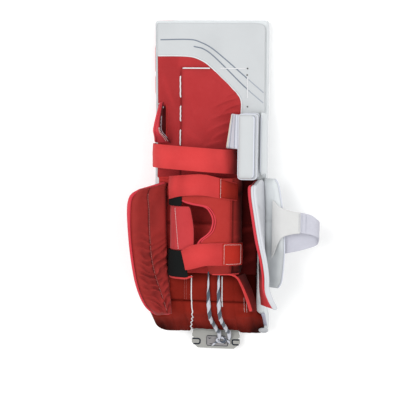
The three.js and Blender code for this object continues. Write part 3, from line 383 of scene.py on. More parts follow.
class Surface:
    """A procedural material on the principled shader, built up one layer at a time."""

    def __init__(self, name, colour, roughness=0.8, sheen=0.0, drift=0.12, shine=0.12):
        self.material = bpy.data.materials.new(name)
        self.material.use_nodes = True
        tree = self.material.node_tree
        self.nodes, self.links = tree.nodes, tree.links
        self.shader = self.nodes["Principled BSDF"]
        self.shader.inputs["Roughness"].default_value = roughness
        self.shader.inputs["Sheen Weight"].default_value = sheen
        self.shader.inputs["Sheen Roughness"].default_value = 0.5
        self.shader.inputs["Specular IOR Level"].default_value = shine
        self.here = self.add("TexCoord").outputs["Object"]
        cloth = self.add("UVMap")
        cloth.uv_map = "cloth"
        self.cloth = cloth.outputs["UV"]
        self.bump = None
        tone = self.add("RGB")
        tone.outputs[0].default_value = from_screen(*colour)
        self.colour = tone.outputs[0]
        self.darken(self.noise(self.here, 22, 3), drift)
        self.darken(self.noise(self.here, 140, 2), drift * 0.5)
        # Painted shade: the shade attribute darkens the colour where each piece is given shade
        shade = self.add("Attribute")
        shade.attribute_name = "shade"
        self.darken(shade.outputs["Fac"], SHADE_DEPTH)

    def add(self, kind, **values):
        node = self.nodes.new("ShaderNode" + kind)
        for name, value in values.items():
            node.inputs[name].default_value = value
        return node

    def noise(self, coords, scale, detail=2):
        node = self.add("TexNoise", Scale=scale, Detail=detail, Roughness=0.5)
        self.links.new(coords, node.inputs["Vector"])
        return node.outputs["Fac"]

    def maths(self, operation, first, second):
        node = self.add("Math")
        node.operation = operation
        for socket, value in zip(node.inputs, (first, second)):
            if isinstance(value, (int, float)):
                socket.default_value = value
            else:
                self.links.new(value, socket)
        return node.outputs[0]

    def blend(self, share, colour):
        """Mixes the colour so far with another one by a share."""
        node = self.add("Mix")
        node.data_type = "RGBA"
        node.clamp_factor = True
        self.links.new(share, node.inputs["Factor"])
        self.links.new(self.colour, node.inputs["A"])
        if isinstance(colour, tuple):
            node.inputs["B"].default_value = from_screen(*colour)
        else:
            self.links.new(colour, node.inputs["B"])
        self.colour = node.outputs["Result"]

    def darken(self, share, amount):
        node = self.add("HueSaturation", Value=1 - amount)
        node.inputs["Saturation"].default_value = 1 + amount * 0.2
        self.links.new(self.colour, node.inputs["Color"])
        self.blend(share, node.outputs["Color"])

    def raise_by(self, height, millimetres, strength=1.0):
        """Adds a height pattern to the bump."""
        node = self.add("Bump", Strength=strength, Distance=millimetres / 1000)
        self.links.new(height, node.inputs["Height"])
        if self.bump:
            self.links.new(self.bump, node.inputs["Normal"])
        self.bump = node.outputs["Normal"]
        return self

    def bands(self, coords, pitch, direction, wobble=0.0):
        """Waves of a pitch in millimetres across one direction of the coordinates."""
        node = self.add("TexWave", Scale=0.31416 / (pitch / 1000), Distortion=wobble)
        node.bands_direction = direction
        self.links.new(coords, node.inputs["Vector"])
        return node.outputs["Fac"]

    def weave(self, pitch=1.3, height=0.16, contrast=0.08):
        """Threads over and under each other."""
        along = self.bands(self.cloth, pitch, "X", 0.3)
        across = self.bands(self.cloth, pitch, "Y", 0.3)
        threads = self.maths("MAXIMUM", along, across)
        self.darken(self.maths("SUBTRACT", 1.0, threads), contrast)
        return self.raise_by(threads, height, 0.7)

    def ribs(self, pitch=1.9, height=0.25, contrast=0.1):
        """Elastic webbing: ribs along its length with finer threads across."""
        cords = self.bands(self.cloth, pitch, "Y")
        threads = self.bands(self.cloth, pitch * 0.45, "X", 0.5)
        height_map = self.maths("ADD", cords, self.maths("MULTIPLY", threads, 0.3))
        self.darken(self.maths("SUBTRACT", 1.0, cords), contrast)
        return self.raise_by(height_map, height, 0.7)

    def grain(self, size=1.6, height=0.12, dents=0.6):
        """Synthetic leather: fine pebbles, and soft dents of the foam beneath."""
        pebbles = self.add("TexVoronoi", Scale=1000 / size)
        self.links.new(self.here, pebbles.inputs["Vector"])
        self.raise_by(self.noise(self.here, 24, 2), dents, 0.6)
        self.raise_by(pebbles.outputs["Distance"], height, 0.5)
        rough = self.maths("MULTIPLY", self.noise(self.here, 60, 3), 0.25)
        base = self.shader.inputs["Roughness"].default_value
        self.links.new(self.maths("ADD", rough, base - 0.12), self.shader.inputs["Roughness"])
        return self

    def pile(self, height=0.5):
        """Hook or loop tape: a short dense pile."""
        self.darken(self.noise(self.here, 900, 2), 0.5)
        return self.raise_by(self.noise(self.here, 1100, 2), height, 1.0)

    def done(self):
        self.links.new(self.colour, self.shader.inputs["Base Color"])
        if self.bump:
            self.links.new(self.bump, self.shader.inputs["Normal"])
        return self.material


def twist_surface():
    """The toe laces: one face pale, the other slate, so that the twist shows as slanting bands."""
    surface = Surface("lace_two_tone", (205, 207, 216), 0.75, sheen=0.2)
    split = surface.add("SeparateXYZ")
    surface.links.new(surface.cloth, split.inputs[0])
    surface.blend(surface.maths("LESS_THAN", split.outputs["Y"], 0.46), (84, 92, 104))
    return surface.weave(1.0, 0.2, 0.12).done()


WHITE = Surface("white_cover", (211, 215, 217), 0.55, drift=0.04, shine=0.3).grain().done()
PANEL_WHITE = (
    Surface("white_panel", (192, 195, 197), 0.6, drift=0.05, shine=0.25)
    .grain(1.4, 0.1, 0.5)
    .done()
)
WING_WHITE = Surface("wing_cover", (202, 204, 209), 0.55, drift=0.06, shine=0.3).grain(1.4, 0.1, 0.9).done()
IVORY_COVER = Surface("ivory_cover", (216, 212, 192), 0.6, drift=0.05, shine=0.2).grain().done()
LAVENDER = Surface("pale_lavender_cover", (210, 213, 222), 0.6, drift=0.05, shine=0.2).grain().done()
ROLL_RED = Surface("red_cover", (196, 44, 52), 0.5, drift=0.08, shine=0.3).grain().done()
LINING_RED = Surface("red_lining", (178, 58, 60), 0.85, 0.06).weave(1.4).done()
SHIN_RED = Surface("dark_red_lining", (190, 62, 60), 0.85).weave(1.4).done()
BOOT_RED = Surface("deep_red_lining", (140, 44, 36), 0.9, shine=0.03).weave(1.6).done()
WING_RED = Surface("wing_nylon", (152, 46, 43), 0.75, 0.05, shine=0.2).weave(1.2).done()
FLAP_RED = Surface("flap_nylon", (200, 50, 54), 0.8, 0.05).weave(1.2).done()
WRAP_RED = Surface("wrap_nylon", (176, 58, 54), 0.8, 0.05).weave(1.5).done()
SALMON = Surface("wrap_knit", (192, 66, 69), 0.9, 0.1).weave(1.8, 0.25).done()
EDGE_RED = Surface("bright_binding", (208, 66, 76), 0.6, 0.05, shine=0.2).weave(0.9, 0.12).done()
STRAP_RED = Surface("red_elastic", (214, 73, 73), 0.75, 0.06, drift=0.1).ribs().done()
PATCH_RED = Surface("red_patch", (184, 54, 45), 0.8).weave(1.1).done()
HOOK_BLACK = Surface("black_hook_tape", (26, 28, 28), 0.95).pile().done()
IVORY_ELASTIC = Surface("ivory_elastic", (214, 214, 213), 0.8, 0.05, drift=0.05).ribs(1.6).done()
HOOK_GREY = Surface("grey_hook_tape", (220, 220, 231), 0.9, drift=0.08).pile(0.3).done()
LACE_WHITE = Surface("white_lace", (234, 234, 236), 0.8, 0.05).weave(0.9, 0.2).done()
GREY_LACE = Surface("grey_lace", (168, 158, 166), 0.8).weave(0.9, 0.2).done()
LACE_TWIST = twist_surface()
THREAD_WHITE = Surface("white_thread", (238, 226, 224), 0.7).done()
THREAD_RED = Surface("red_thread", (214, 84, 84), 0.7).done()
THREAD_ROSE = Surface("rose_thread", (186, 112, 108), 0.7).done()
THREAD_DARK = Surface("dark_red_thread", (120, 26, 24), 0.7).done()
THREAD_GREY = Surface("grey_thread", (160, 164, 176), 0.7).done()
STRIPE_GREY = Surface("stripe_grey", (128, 136, 148), 0.6).weave(0.8, 0.1).done()
STRIPE_PALE = Surface("stripe_pale", (168, 174, 183), 0.6).weave(0.8, 0.1).done()
EYELET_GREY = Surface("eyelet_metal", (150, 152, 150), 0.35, shine=0.5).done()
EYELET_HOLE_SHADE = Surface("eyelet_hole", (40, 36, 36), 0.9).done()
TOE_GREY = Surface("toe_plastic", (158, 158, 154), 0.5, drift=0.08, shine=0.3).grain(2.4, 0.08, 0.3).done()
# Painted shade: the dark of the toe plate's grooves and slots
TOE_GROOVE_SHADE = Surface("toe_groove", (36, 42, 52), 0.7).done()
PATCH_GREY = Surface("toe_patch_plastic", (140, 137, 138), 0.5, shine=0.3).grain(2.0, 0.08, 0.3).done()
STRAP_GREY = Surface("grey_webbing", (186, 186, 202), 0.8).ribs(1.4).done()
BUCKLE_GREY = (
    Surface("buckle_plastic", (172, 174, 178), 0.3, drift=0.05, shine=0.5)
    .grain(3.0, 0.04, 0.2)
    .done()
)


def rise_of(wrinkles, x, s):
    """The height at a place of ridges, each from (x0, s0) to (x1, s1), with its height and half width."""
    total = 0.0
    for x0, s0, x1, s1, height, width, bow in wrinkles:
        dx, ds = x1 - x0, s1 - s0
        length = math.hypot(dx, ds)
        along = ((x - x0) * dx + (s - s0) * ds) / (length * length)
        if -0.15 < along < 1.15:
            off = ((x - x0) * ds - (s - s0) * dx) / length - bow * 4 * along * (1 - along)
            total += height * bell(off, width) * smooth(min(along, 1 - along), -0.15, 0.3)
    return total


def dimple(x, s, height, scale=55, seed=0.0):
    """Soft uneven foam: a slow noise of a height and a size in millimetres."""
    return height * noise.noise(Vector((x / scale + seed, s / scale - seed, seed * 1.7)))


def uneven(height, scale, seed):
    """The relief of a panel whose cloth is only a little uneven."""
    return lambda u, v, width, length: dimple(u * width, v * length, height, scale, seed)


def add_loft(name, rings, material):
    """A closed piece through rings that have the same number of points."""
    size = len(rings[0])
    points = [p for ring in rings for p in ring]
    faces = []
    for r in range(len(rings) - 1):
        for i in range(size):
            n = (i + 1) % size
            faces.append((r * size + i, r * size + n, (r + 1) * size + n, (r + 1) * size + i))
    faces.append(tuple(range(size)))
    faces.append(tuple((len(rings) - 1) * size + i for i in reversed(range(size))))
    coords = [(i * 0.006, r * 0.008) for r in range(len(rings)) for i in range(size)]
    return add_piece(name, points, faces, material, coords)


def round_corners(corners, pitch=7.0):
    """A closed outline from corners (x, y, radius), with arcs at the corners and even points between."""
    outline = []
    count = len(corners)
    for i, (x, y, radius) in enumerate(corners):
        here = Vector((x, y))
        before = Vector(corners[i - 1][:2]) - here
        after = Vector(corners[(i + 1) % count][:2]) - here
        start, end = here + before.normalized() * radius, here + after.normalized() * radius
        arc = [start.lerp(here, t).lerp(here.lerp(end, t), t) for t in (0, 0.2, 0.4, 0.6, 0.8, 1)]
        outline += arc if radius > 0.5 else [here]
        nx, ny, next_radius = corners[(i + 1) % count]
        goal = Vector((nx, ny)) - after.normalized() * next_radius
        steps = max(int((goal - end).length / pitch), 1)
        outline += [end.lerp(goal, k / steps) for k in range(1, steps)]
    return outline


def stations(low, high, pitch=8.0, edge=0.0):
    return [mix(low, high, share) for share in steps_over(high - low, pitch, edge)]


BREAKS = (64, 300, 520)


def make_board():
    """The foam board under its white cover, with seams across its front face and piping at its edges."""
    section = round_corners([
        (-HALF_WIDTH, 0, 4), (HALF_WIDTH, 0, 10), (HALF_WIDTH, -BOARD_THICKNESS, 16),
        (-104.3, -BOARD_THICKNESS, 5), (-104.3, -15.6, 1), (-HALF_WIDTH, -15.6, 2),
    ])
    corner = 9
    rings = []
    for s in stations(TOE_END, TOP_END, 7, corner):
        inset = corner * (1 - rounded(min(TOP_END - s, (s - TOE_END) * 1.6), corner))
        pinch = sum(2.2 * bell(s - place, 4) for place in BREAKS)
        ring = []
        for x, h in section:
            x = clamp(x, -HALF_WIDTH + inset * 0.6, HALF_WIDTH - inset)
            low = -BOARD_THICKNESS + inset + (pinch if x > -104 and h < -BOARD_THICKNESS + 1 else 0)
            swell = 1.4 * (1 - ((h + 25) / 25) ** 2) * noise.noise(Vector((s / 45, h / 60, 3)))
            ring.append(on_pad(x + (swell if x > 130 else 0), s, clamp(h, low, -inset * 0.5)))
        rings.append(ring)
    board = add_loft("board_cover", rings, WHITE)
    stand_for(board, "face_board", fill=0.95)

    inside = [TOE_END + 3, *stations(TOE_END + 8, TOP_END - 9, 10), TOP_END - 4]
    edges = []
    for x, h in ((HALF_WIDTH - 2.4, -2.4), (-HALF_WIDTH + 0.8, -0.8), (HALF_WIDTH - 5, -45)):
        edges.append([on_pad(x, s, h) for s in inside])
    top = trace(lambda t: on_pad(mix(-HALF_WIDTH + 6, HALF_WIDTH - 10, t), TOP_END - 2.4, -2.6), count=30)
    add_tube("board_piping", [*edges, top], 1.5, WHITE, sides=8)
    seams = []
    for place in BREAKS:
        seams.append([on_pad(x, place + 7, -BOARD_THICKNESS - 0.2) for x in (-98, -40, 20, 80, 122)])
    add_stitches("board_stitches", seams, THREAD_GREY, 6)


ROLL_PINCHES = (20, 180, 300, 410, 520, 640)


def make_roll():
    """The red roll along the outer edge of the front face, pinched at its seams."""
    left, right, front, back = -142.1, -104.7, -50, -16
    outline = round_corners([(left, back, 11), (left, front, 12), (right, front, 3), (right, back, 2)], 5)
    middle = Vector(((left + right) / 2, (front + back) / 2))
    rings = []
    for s in stations(TOE_END, TOP_END - 8, 6, 8):
        end = rounded(min(TOP_END - 8 - s, s - TOE_END), 8)
        pinch = 1 - 0.07 * sum(bell(s - place, 5) for place in ROLL_PINCHES)
        share = mix(0.7, 1, end) * pinch
        bulge = 1 + 0.22 * smooth(s, 560, 600) * (1 - smooth(s, 700, 730))
        ring = []
        for p in outline:
            x, h = middle.lerp(p, share)
            ring.append(on_pad(middle.x + (x - middle.x) * (bulge if x < middle.x else 1), s, h))
        rings.append(ring)
    roll = add_loft("roll_cover", rings, ROLL_RED)
    stand_for(roll, "outer_roll", fill=0.9)
    seam = [on_pad(left + 0.3, s, -33) for s in stations(TOE_END + 9, TOP_END - 18, 10)]
    add_tube("roll_piping", [seam], 1.1, EDGE_RED, sides=8)


def on_table(rows):
    """A path through a table of (share, x, s)."""
    return lambda t: row_at(rows, t)


def coons(bottom, right, top, left):
    """The surface between four edges that meet at their corners."""
    corners = [bottom(0), bottom(1), top(0), top(1)]

    def place(u, v):
        values = []
        for k in (0, 1):
            edges = (1 - v) * bottom(u)[k] + v * top(u)[k] + (1 - u) * left(v)[k] + u * right(v)[k]
            (a, b, c, d) = (corner[k] for corner in corners)
            values.append(edges - (1 - u) * (1 - v) * a - u * (1 - v) * b - (1 - u) * v * c - u * v * d)
        return values

    return place


# The edges of the thigh's parts: (share, x, s)
THIGH_CURVE = [
    (0.0, -133.7, 686), (0.14, -90, 686.5), (0.26, -52.5, 685), (0.34, -32.5, 680), (0.41, -12.5, 669.5),
    (0.48, 5, 655), (0.58, 27.5, 632.5), (0.68, 50, 611), (0.75, 65, 595), (0.81, 74, 582),
    (0.86, 76.5, 570), (0.93, 76.3, 555), (1.0, 75.5, 540),
]
THIGH_TOP = [
    (0.0, -133.7, 686), (0.225, -90, 686.5), (0.419, -52.5, 685), (0.525, -32.5, 680), (0.643, -12.5, 669.5),
    (0.758, 5, 655), (0.922, 27.5, 632.5), (1.0, 38, 622.5),
]
THIGH_RIGHT = [
    (0.0, 75.5, 382.5), (0.62, 75.5, 540), (0.7, 76.5, 560), (0.79, 74, 582), (0.85, 65, 595),
    (0.93, 50, 611), (1.0, 38, 622.5),
]
PANEL_FRAME = [
    (0.0, -133.7, 766), (0.14, -95, 766), (0.26, -60, 766), (0.34, -35, 766), (0.41, -8, 766),
    (0.48, 18, 766), (0.58, 62, 766), (0.66, 108, 766), (0.71, 127, 763), (0.75, 133.5, 754),
    (0.81, 133.7, 715), (0.86, 133.7, 660), (0.93, 133.7, 600), (1.0, 133.7, 540),
]
THIGH_WRINKLES = [
    (74, 586, 6, 559, 3.8, 3.6, 4), (76, 570, 20, 540, 4.2, 3.6, 5), (70, 598, 34, 585, 2.8, 3.6, 2),
    (74, 550, -2, 527, 3.6, 4.5, 5), (60, 526, -8, 497, 3.4, 4.5, 4), (50, 504, 2, 478, 2.8, 4.5, 3),
    (34, 476, -18, 460, 2.2, 5, 2), (-120, 640, -92, 560, 1.8, 6, 2), (0, 640, 40, 606, 1.8, 5, -3),
    (-56, 600, -30, 520, 1.8, 8, 3), (-62, 500, -20, 470, 1.8, 7, 3), (-130, 420, -96, 408, 2.6, 5, 2),
    (-132, 400, -80, 396, 3.0, 4, -3), (-60, 398, 50, 392, 2.4, 4, 3),
]
BACK_THICKNESS = 8
LINING_THICKNESS = 10
LACES_DOWN = [(-76.5, 582, 638), (-76.5, 522, 564), (-76.5, 462, 504)]
LACE_ACROSS = (-72, -1, 656)


def back_dimple(x, s):
    """The soft surface of the white back panel."""
    return dimple(x, s, 0.9, 70, 5.0)


def thigh_relief(x, s):
    """Wrinkles, soft foam, and the grooves that the laces pull into the lining."""
    height = rise_of(THIGH_WRINKLES, x, s) + dimple(x, s, 1.1)
    along = smooth(s, 380, 400) * (1 - smooth(s, 648, 662))
    height -= 2.2 * bell(x + 75, 7) * along
    x0, x1, up = LACE_ACROSS
    height -= 2.0 * bell(s - up, 6) * smooth(x, x0 - 12, x0 + 4) * (1 - smooth(x, 20, 45))
    return height


def thigh_painted_shade(x, s):
    """Painted shade: darker in the lace's groove, beside the knee flap and down towards the knee."""
    tone = 0.5 * bell(x + 75, 2.2) * (1 - smooth(s, 640, 660)) + 0.16 * (1 - smooth(x, -88, -74))
    tone += 0.9 * (1 - smooth(x, -115, -111)) * smooth(s, 470, 482) * (1 - smooth(s, 556, 568))
    x0, x1, up = LACE_ACROSS
    tone += 0.4 * bell(s - up, 2.2) * smooth(x, x0 - 4, x0) * (1 - smooth(x, 16, 24))
    return clamp(tone + 0.34 * smooth(x - s, -560, -380))


def make_thigh():
    """The white back panel, the red lining below it, their curved seam, the stripes and the laces."""
    curve, frame = on_table(THIGH_CURVE), on_table(PANEL_FRAME)
    panel_place = lambda u, v: [mix(a, b, v) for a, b in zip(curve(u), frame(u))]
    back = add_panel("back_cover", lambda u, v: on_pad(*panel_place(u, v), CLEAR), BACK_THICKNESS,
                     PANEL_WHITE, edge=5, thin=0.6,
                     relief=lambda u, v, width, length: back_dimple(*panel_place(u, v)))
    stand_for(back, "back_panel", fill=0.8)

    lining_place = coons(
        lambda u: (mix(-133.7, 75.5, u), 382.5),
        on_table(THIGH_RIGHT),
        on_table(THIGH_TOP),
        lambda v: (-133.7, mix(382.5, 686, v)),
    )

    lining = add_panel("thigh_cloth", lambda u, v: on_pad(*lining_place(u, v), CLEAR), LINING_THICKNESS,
                       LINING_RED, edge=6, thin=0.5, pitch=2.2,
                       relief=lambda u, v, width, length: thigh_relief(*lining_place(u, v)),
                       shade=lambda u, v: thigh_painted_shade(*lining_place(u, v)))
    stand_for(lining, "thigh_lining", fill=0.6)

    seam = trace(lambda t: on_pad(*curve(t), 8.6), count=80)
    add_tube("thigh_binding", [seam], 2.1, WHITE, flat=0.8, sides=10)
    left = [on_pad(-134.6, s, 3.4) for s in stations(384, 764, 8)]
    add_tube("left_binding", [left], 2.0, PANEL_WHITE, sides=10)

    make_stripes()
    make_thigh_laces()


def on_ribbon(name, path, width, height, material, up=(0, 0, 1)):
    """A thin flat strip along one path, such as a printed stripe or a lace."""
    return add_tube(name, [path], width / 2, material, flat=height / width, sides=8, up=up, ends=0.9)


OUTER_STRIPE = [
    (0.0, -126, 725.5), (0.25, -49, 726), (0.36, -24, 719), (0.46, 1, 706), (0.6, 34, 680), (0.8, 84, 637),
    (1.0, 131, 597),
]
INNER_STRIPE = [
    (0.0, -43, 709.5), (0.13, -18, 703), (0.32, 12, 681), (0.6, 81, 614), (1.0, 130, 572),
]


def make_stripes():
    """Two thin curved stripes sewn on the back panel, paler beyond the lace."""
    for name, rows, change in (("stripe_outer", OUTER_STRIPE, 84), ("stripe_inner", INNER_STRIPE, 68)):
        curve = on_table(rows)
        height = lambda x, s: CLEAR + BACK_THICKNESS + back_dimple(x, s) + 0.05
        path = trace(lambda t: on_pad(*curve(t), height(*curve(t))), count=100)
        on_ribbon(name, path[:change], 3.2, 0.9, STRIPE_GREY)
        on_ribbon(name + "_end", path[change:], 2.8, 0.9, STRIPE_PALE)


def lace_path(points, sink=2.2):
    """A lace between two holes: it comes up out of the first and goes down into the second."""
    fine = resample(points, 2.0)
    last = len(fine) - 1
    path = []
    for i, p in enumerate(fine):
        near = min(i, last - i) * 2.0
        path.append(p + Vector((0, 0, -sink * (1 - smooth(near, 0, 5)))))
    return path


def make_thigh_laces():
    """The white lace that shows as stitches across and down the thigh, with its eyelets."""
    over_red = lambda x, s: CLEAR + LINING_THICKNESS + thigh_relief(x, s) + 0.9
    over_white = lambda x, s: CLEAR + BACK_THICKNESS + back_dimple(x, s) + 0.6
    runs = [("thigh_lace_across_1", (-72, 656), (-1, 656), over_red),
            ("thigh_lace_across_2", (22, 656), (88, 656), over_white),
            ("thigh_lace_down_4", (91, 638), (91, 582), over_white)]
    for i, (x, low, high) in enumerate(LACES_DOWN):
        runs.append((f"thigh_lace_down_{i + 1}", (x, high), (x, low), over_red))
    for node, start, end, height in runs:
        points = []
        for k in range(25):
            x, s = mix(start[0], end[0], k / 24), mix(start[1], end[1], k / 24)
            x += 0.25 * math.sin(k * 0.9)
            points.append(on_pad(x, s, height(x, s)))
        width = 3.3 if height is over_red else 2.4
        lace = on_ribbon(node + "_cord", lace_path(points), width, 1.8, LACE_WHITE)
        stand_for(lace, node)
    rings, holes = [], []
    for x, s in ((91, 656), (90, 640), (91, 562)):
        centre = on_pad(x, s, over_white(x, s) - 0.4)
        rings.append(circle(centre, 1.9))
        # Painted shade: a dark disc in each eyelet stands for the shade in its hole
        holes.append([centre + Vector((0, 0, -0.6)), centre + Vector((0, 0, 0.1))])
    add_tube("thigh_eyelets", rings, 0.6, EYELET_GREY, sides=6, ends=1)
    add_tube("thigh_eyelet_holes", holes, 1.5, EYELET_HOLE_SHADE, sides=12, ends=1)


def circle(centre, radius, turns=1.04):
    """A level ring of points round a centre, closing a little past its start."""
    angles = [2 * math.pi * turns * i / 20 for i in range(21)]
    return [centre + Vector((radius * math.cos(a), radius * math.sin(a), 0)) for a in angles]


# The knee
def make_knee_block():
    """The landing block beside the knee: a tall padded block with a crowned top and piped edges."""
    left, width, foot, length = 80, 43, 386, 160
    right, top, corner = left + width, foot + length, 9
    corners = ((left, foot), (right, foot), (right, top), (left, top))
    outline = round_corners([(x, s, corner) for x, s in corners], 8)
    middle = Vector((left + width / 2, foot + length / 2))

    def ring(inset, h, bulge=0.0):
        points = []
        for p in outline:
            off = p - middle
            out = Vector((off.x * (1 - inset / (width / 2)), off.y * (1 - inset / (length / 2))))
            soft = bulge * noise.noise(Vector((p.x / 30, p.y / 40, h / 30)))
            points.append(on_pad(middle.x + out.x + soft, middle.y + out.y, h))
        return points

    levels = [(0.6, 0.4), (0, 3), *[(0, 3 + 90 * k / 12) for k in range(1, 12)], (0, 94)]
    levels += [(0.4, 97), (1.4, 99.6), (3, 101.8), (5, 103.4), (8, 104.8), (12, 105.8), (17, 106.4)]
    levels.append((21, 106.6))
    rings = [ring(inset, h, 0.7 if 0 < h < 96 else 0.2) for inset, h in levels]
    block = add_loft("knee_block_cover_leather", rings, PANEL_WHITE)
    stand_for(block, "knee_block", fill=0.95)
    pipings = (("edge", -0.4, 92, 1.9), ("waist", -0.5, 84, 1.5), ("foot", -0.4, 30, 1.3))
    for name, inset, h, radius in pipings:
        line = ring(inset, h)
        line += line[:2]
        add_tube(f"knee_block_{name}_piping", [line], radius, LAVENDER, sides=8)
    # The crease line is a thin grey tube: painted shade in the groove beside the crown piping
    ridges = (("crown", 5.2, 103.6, 1.5, LAVENDER), ("crease", 2.6, 101.6, 1.0, THREAD_GREY))
    for name, inset, h, radius, material in ridges:
        line = [p for p in ring(inset, h) if p.x > right - 12]
        line.sort(key=lambda p: p.y)
        add_tube(f"knee_block_{name}_line", [line], radius, material, sides=8)

    def on_cover(u, v):
        foot_dip = mix(0.75, 1, rounded(min(v, 1 - v), 0.3))
        return on_pad(135 - 8.5 * u * u, 396 + 150 * v, 8.6 + 28 * u * foot_dip)

    cover = add_panel("knee_side_cover", on_cover, 6, WHITE, edge=5, thin=0.5, side=-1)
    stand_for(cover, "knee_block_cover", fill=0.8)
    rim = trace(lambda v: on_cover(1.0, v) + Vector((1.5, 0, 1.2)), 0.03, 0.97)
    add_tube("knee_side_piping", [rim], 1.4, LAVENDER, sides=8)

    def on_wing(u, v):
        return on_pad(79.6 - (18 + 14 * (1 - v)) * u, mix(457.8, 544.8, v), 81 - 44 * u)

    wing = add_panel("knee_wing_cover", on_wing, 8, LAVENDER, edge=4, thin=0.5, pitch=3, side=-1)
    stand_for(wing, "knee_wing", fill=0.8)
    lift = Vector((-4.5, 0, 2.6))
    beside = lambda u, times: trace(lambda v: on_wing(u, v) + lift * times, 0.02, 0.98, 30)
    outer = beside(0.86, 0.9)
    lines = [beside(u, 1.66) for u in (0.14, 0.58)]
    add_tube("knee_wing_binding", [outer], 4.8, IVORY_COVER, flat=0.7, sides=12)
    add_tube("knee_wing_lines", lines, 1.0, THREAD_GREY, sides=6)


# The flap: (share of its length, rise, foot, lip)
KNEE_FLAP = [
    (0.0, 0.3, -99, 34), (0.1, 0.56, -104, 27), (0.2, 0.85, -112, 18), (0.3, 1.0, -118, 12),
    (0.5, 0.96, -119, 8), (0.75, 0.68, -119, 5), (0.92, 0.32, -119, 4), (1.0, 0.12, -119, 3),
]


def make_knee_flap():
    """The red flap that stands up along the outer side of the knee, with its edge, stitching and lace."""
    def on_flap(u, v):
        rise, foot, lip = row_at(KNEE_FLAP, v)
        x = foot - 2 * u * u - lip * smooth(u, 0.55, 1.0)
        return on_pad(x, 470 + 102 * v, SEAT + CLEAR + 54 * rise * smooth(u, -0.6, 0.95))

    # Painted shade on the flap's inner face, darkest near its foot where the pocket lies in shade
    painted_flap_shade = lambda u, v: 0.95 * (1 - smooth(u, 0.5, 0.78))
    flap = add_panel("knee_flap_cloth", on_flap, 4.5, EDGE_RED, edge=4, thin=0.5, pitch=2.4,
                     relief=uneven(0.9, 20, 3), inner_shade=painted_flap_shade)
    stand_for(flap, "knee_flap", fill=0.6)
    rim = trace(lambda v: on_flap(1, v) + Vector((-0.6, 0, 0.8)), 0.01, 0.99, 60)
    add_tube("knee_flap_binding", [rim], 2.8, EDGE_RED, flat=0.8, sides=10)
    rows = [trace(lambda v: on_flap(u, v) + Vector((0.9, 0, 0.9)), 0.03, 0.37, 24) for u in (0.7, 0.64)]
    add_stitches("knee_flap_stitches", rows, THREAD_WHITE, 4.5, 1.2)
    lace = []
    for i in range(41):
        v = mix(0.12, 0.66, i / 40)
        lace.append(on_flap(0.42 + 0.05 * math.sin(i * 0.9), v) + Vector((1.8, 0, 0.9)))
    add_tube("knee_flap_lace", [lace], 1.7, GREY_LACE, flat=0.6, sides=8)
    rivets = []
    for x, s, h in ((-129, 567, 13), (-119, 559, 18)):
        rivets.append([on_pad(x, s, h), on_pad(x, s, h + 2.4), on_pad(x, s, h + 3.2)])
    dome = lambda t: 3.0 * (1 - 0.5 * t * t)
    add_tube("knee_flap_rivets", rivets, dome, BUCKLE_GREY, sides=12)
    hem = [on_pad(-110.5, s, 11.2 + 0.5 * math.sin(s / 5)) for s in range(474, 570, 3)]
    add_tube("knee_lining_hem", [hem], 1.8, SHIN_RED, flat=0.7, sides=8)
    seam = [on_pad(-107, s, 11.2) for s in range(478, 566, 6)]
    add_stitches("knee_lining_stitches", [seam], THREAD_RED, 5, 1.0)


# The arch over the leg, which every strap and wrap follows
SQUARENESS = 3
CALF_ARCH = (-92.5, 78, 61)
KNEE_ARCH = (-140.1, 72, 76)
STRAP_THICKNESS = 2.6


def on_arch(arch, place, y, lift):
    """A point on the rounded bridge over the leg: place runs from -1 at its left root to 1 at its right."""
    left, right, height = arch
    rise = max(1 - abs(place) ** SQUARENESS, 0) ** (1 / SQUARENESS)
    x = (left + right) / 2 + ((right - left) / 2 + lift) * place
    return Vector((x, y, SEAT + (height + lift) * rise))


def place_between(start, end, share):
    """A place on the arch between two others, with the steep parts sampled closely."""
    angle = lambda place: math.asin(clamp(math.copysign(abs(place) ** 1.5, place), -1, 1))
    value = math.sin(mix(angle(start), angle(end), share))
    return math.copysign(abs(value) ** (1 / 1.5), value)


def add_strap(name, arch, start, end, low, high, lift, thickness, material, tail=0, pitch=4.0,
              wave=0.5, shade=None, skew=0.0):
    """A flat strap over the arch; low(place) and high(place) are its edges up the leg."""
    share = 0.12 if tail else 0.0

    def on_strap(u, v):
        if u < share:
            drop = tail * (1 - u / share)
            return on_arch(arch, start, mix(low(start), high(start), v), lift) - Vector((0, 0, drop))
        place = place_between(start + skew * (1 - v), end, (u - share) / (1 - share))
        return on_arch(arch, place, mix(low(place), high(place), v), lift)

    relief = lambda u, v, w, l: dimple(u * w, v * l, wave, 26, 9) + 0.5 * math.cos((v - 0.5) * 5) - 0.4
    tone = (lambda u, v: shade(on_strap(u, v))) if shade else None
    strap = add_panel(name, on_strap, thickness, material, edge=1.2, thin=0.5, pitch=pitch,
                      relief=relief, shade=tone)
    return strap, on_strap


def over(on_strap, u, v, lift):
    """A point a little way off a strap's base surface."""
    tiny = 2e-3
    here = on_strap(u, v)
    across = on_strap(min(u + tiny, 1), v) - on_strap(max(u - tiny, 0), v)
    up = on_strap(u, min(v + tiny, 1)) - on_strap(u, max(v - tiny, 0))
    return here + across.cross(up).normalized() * lift


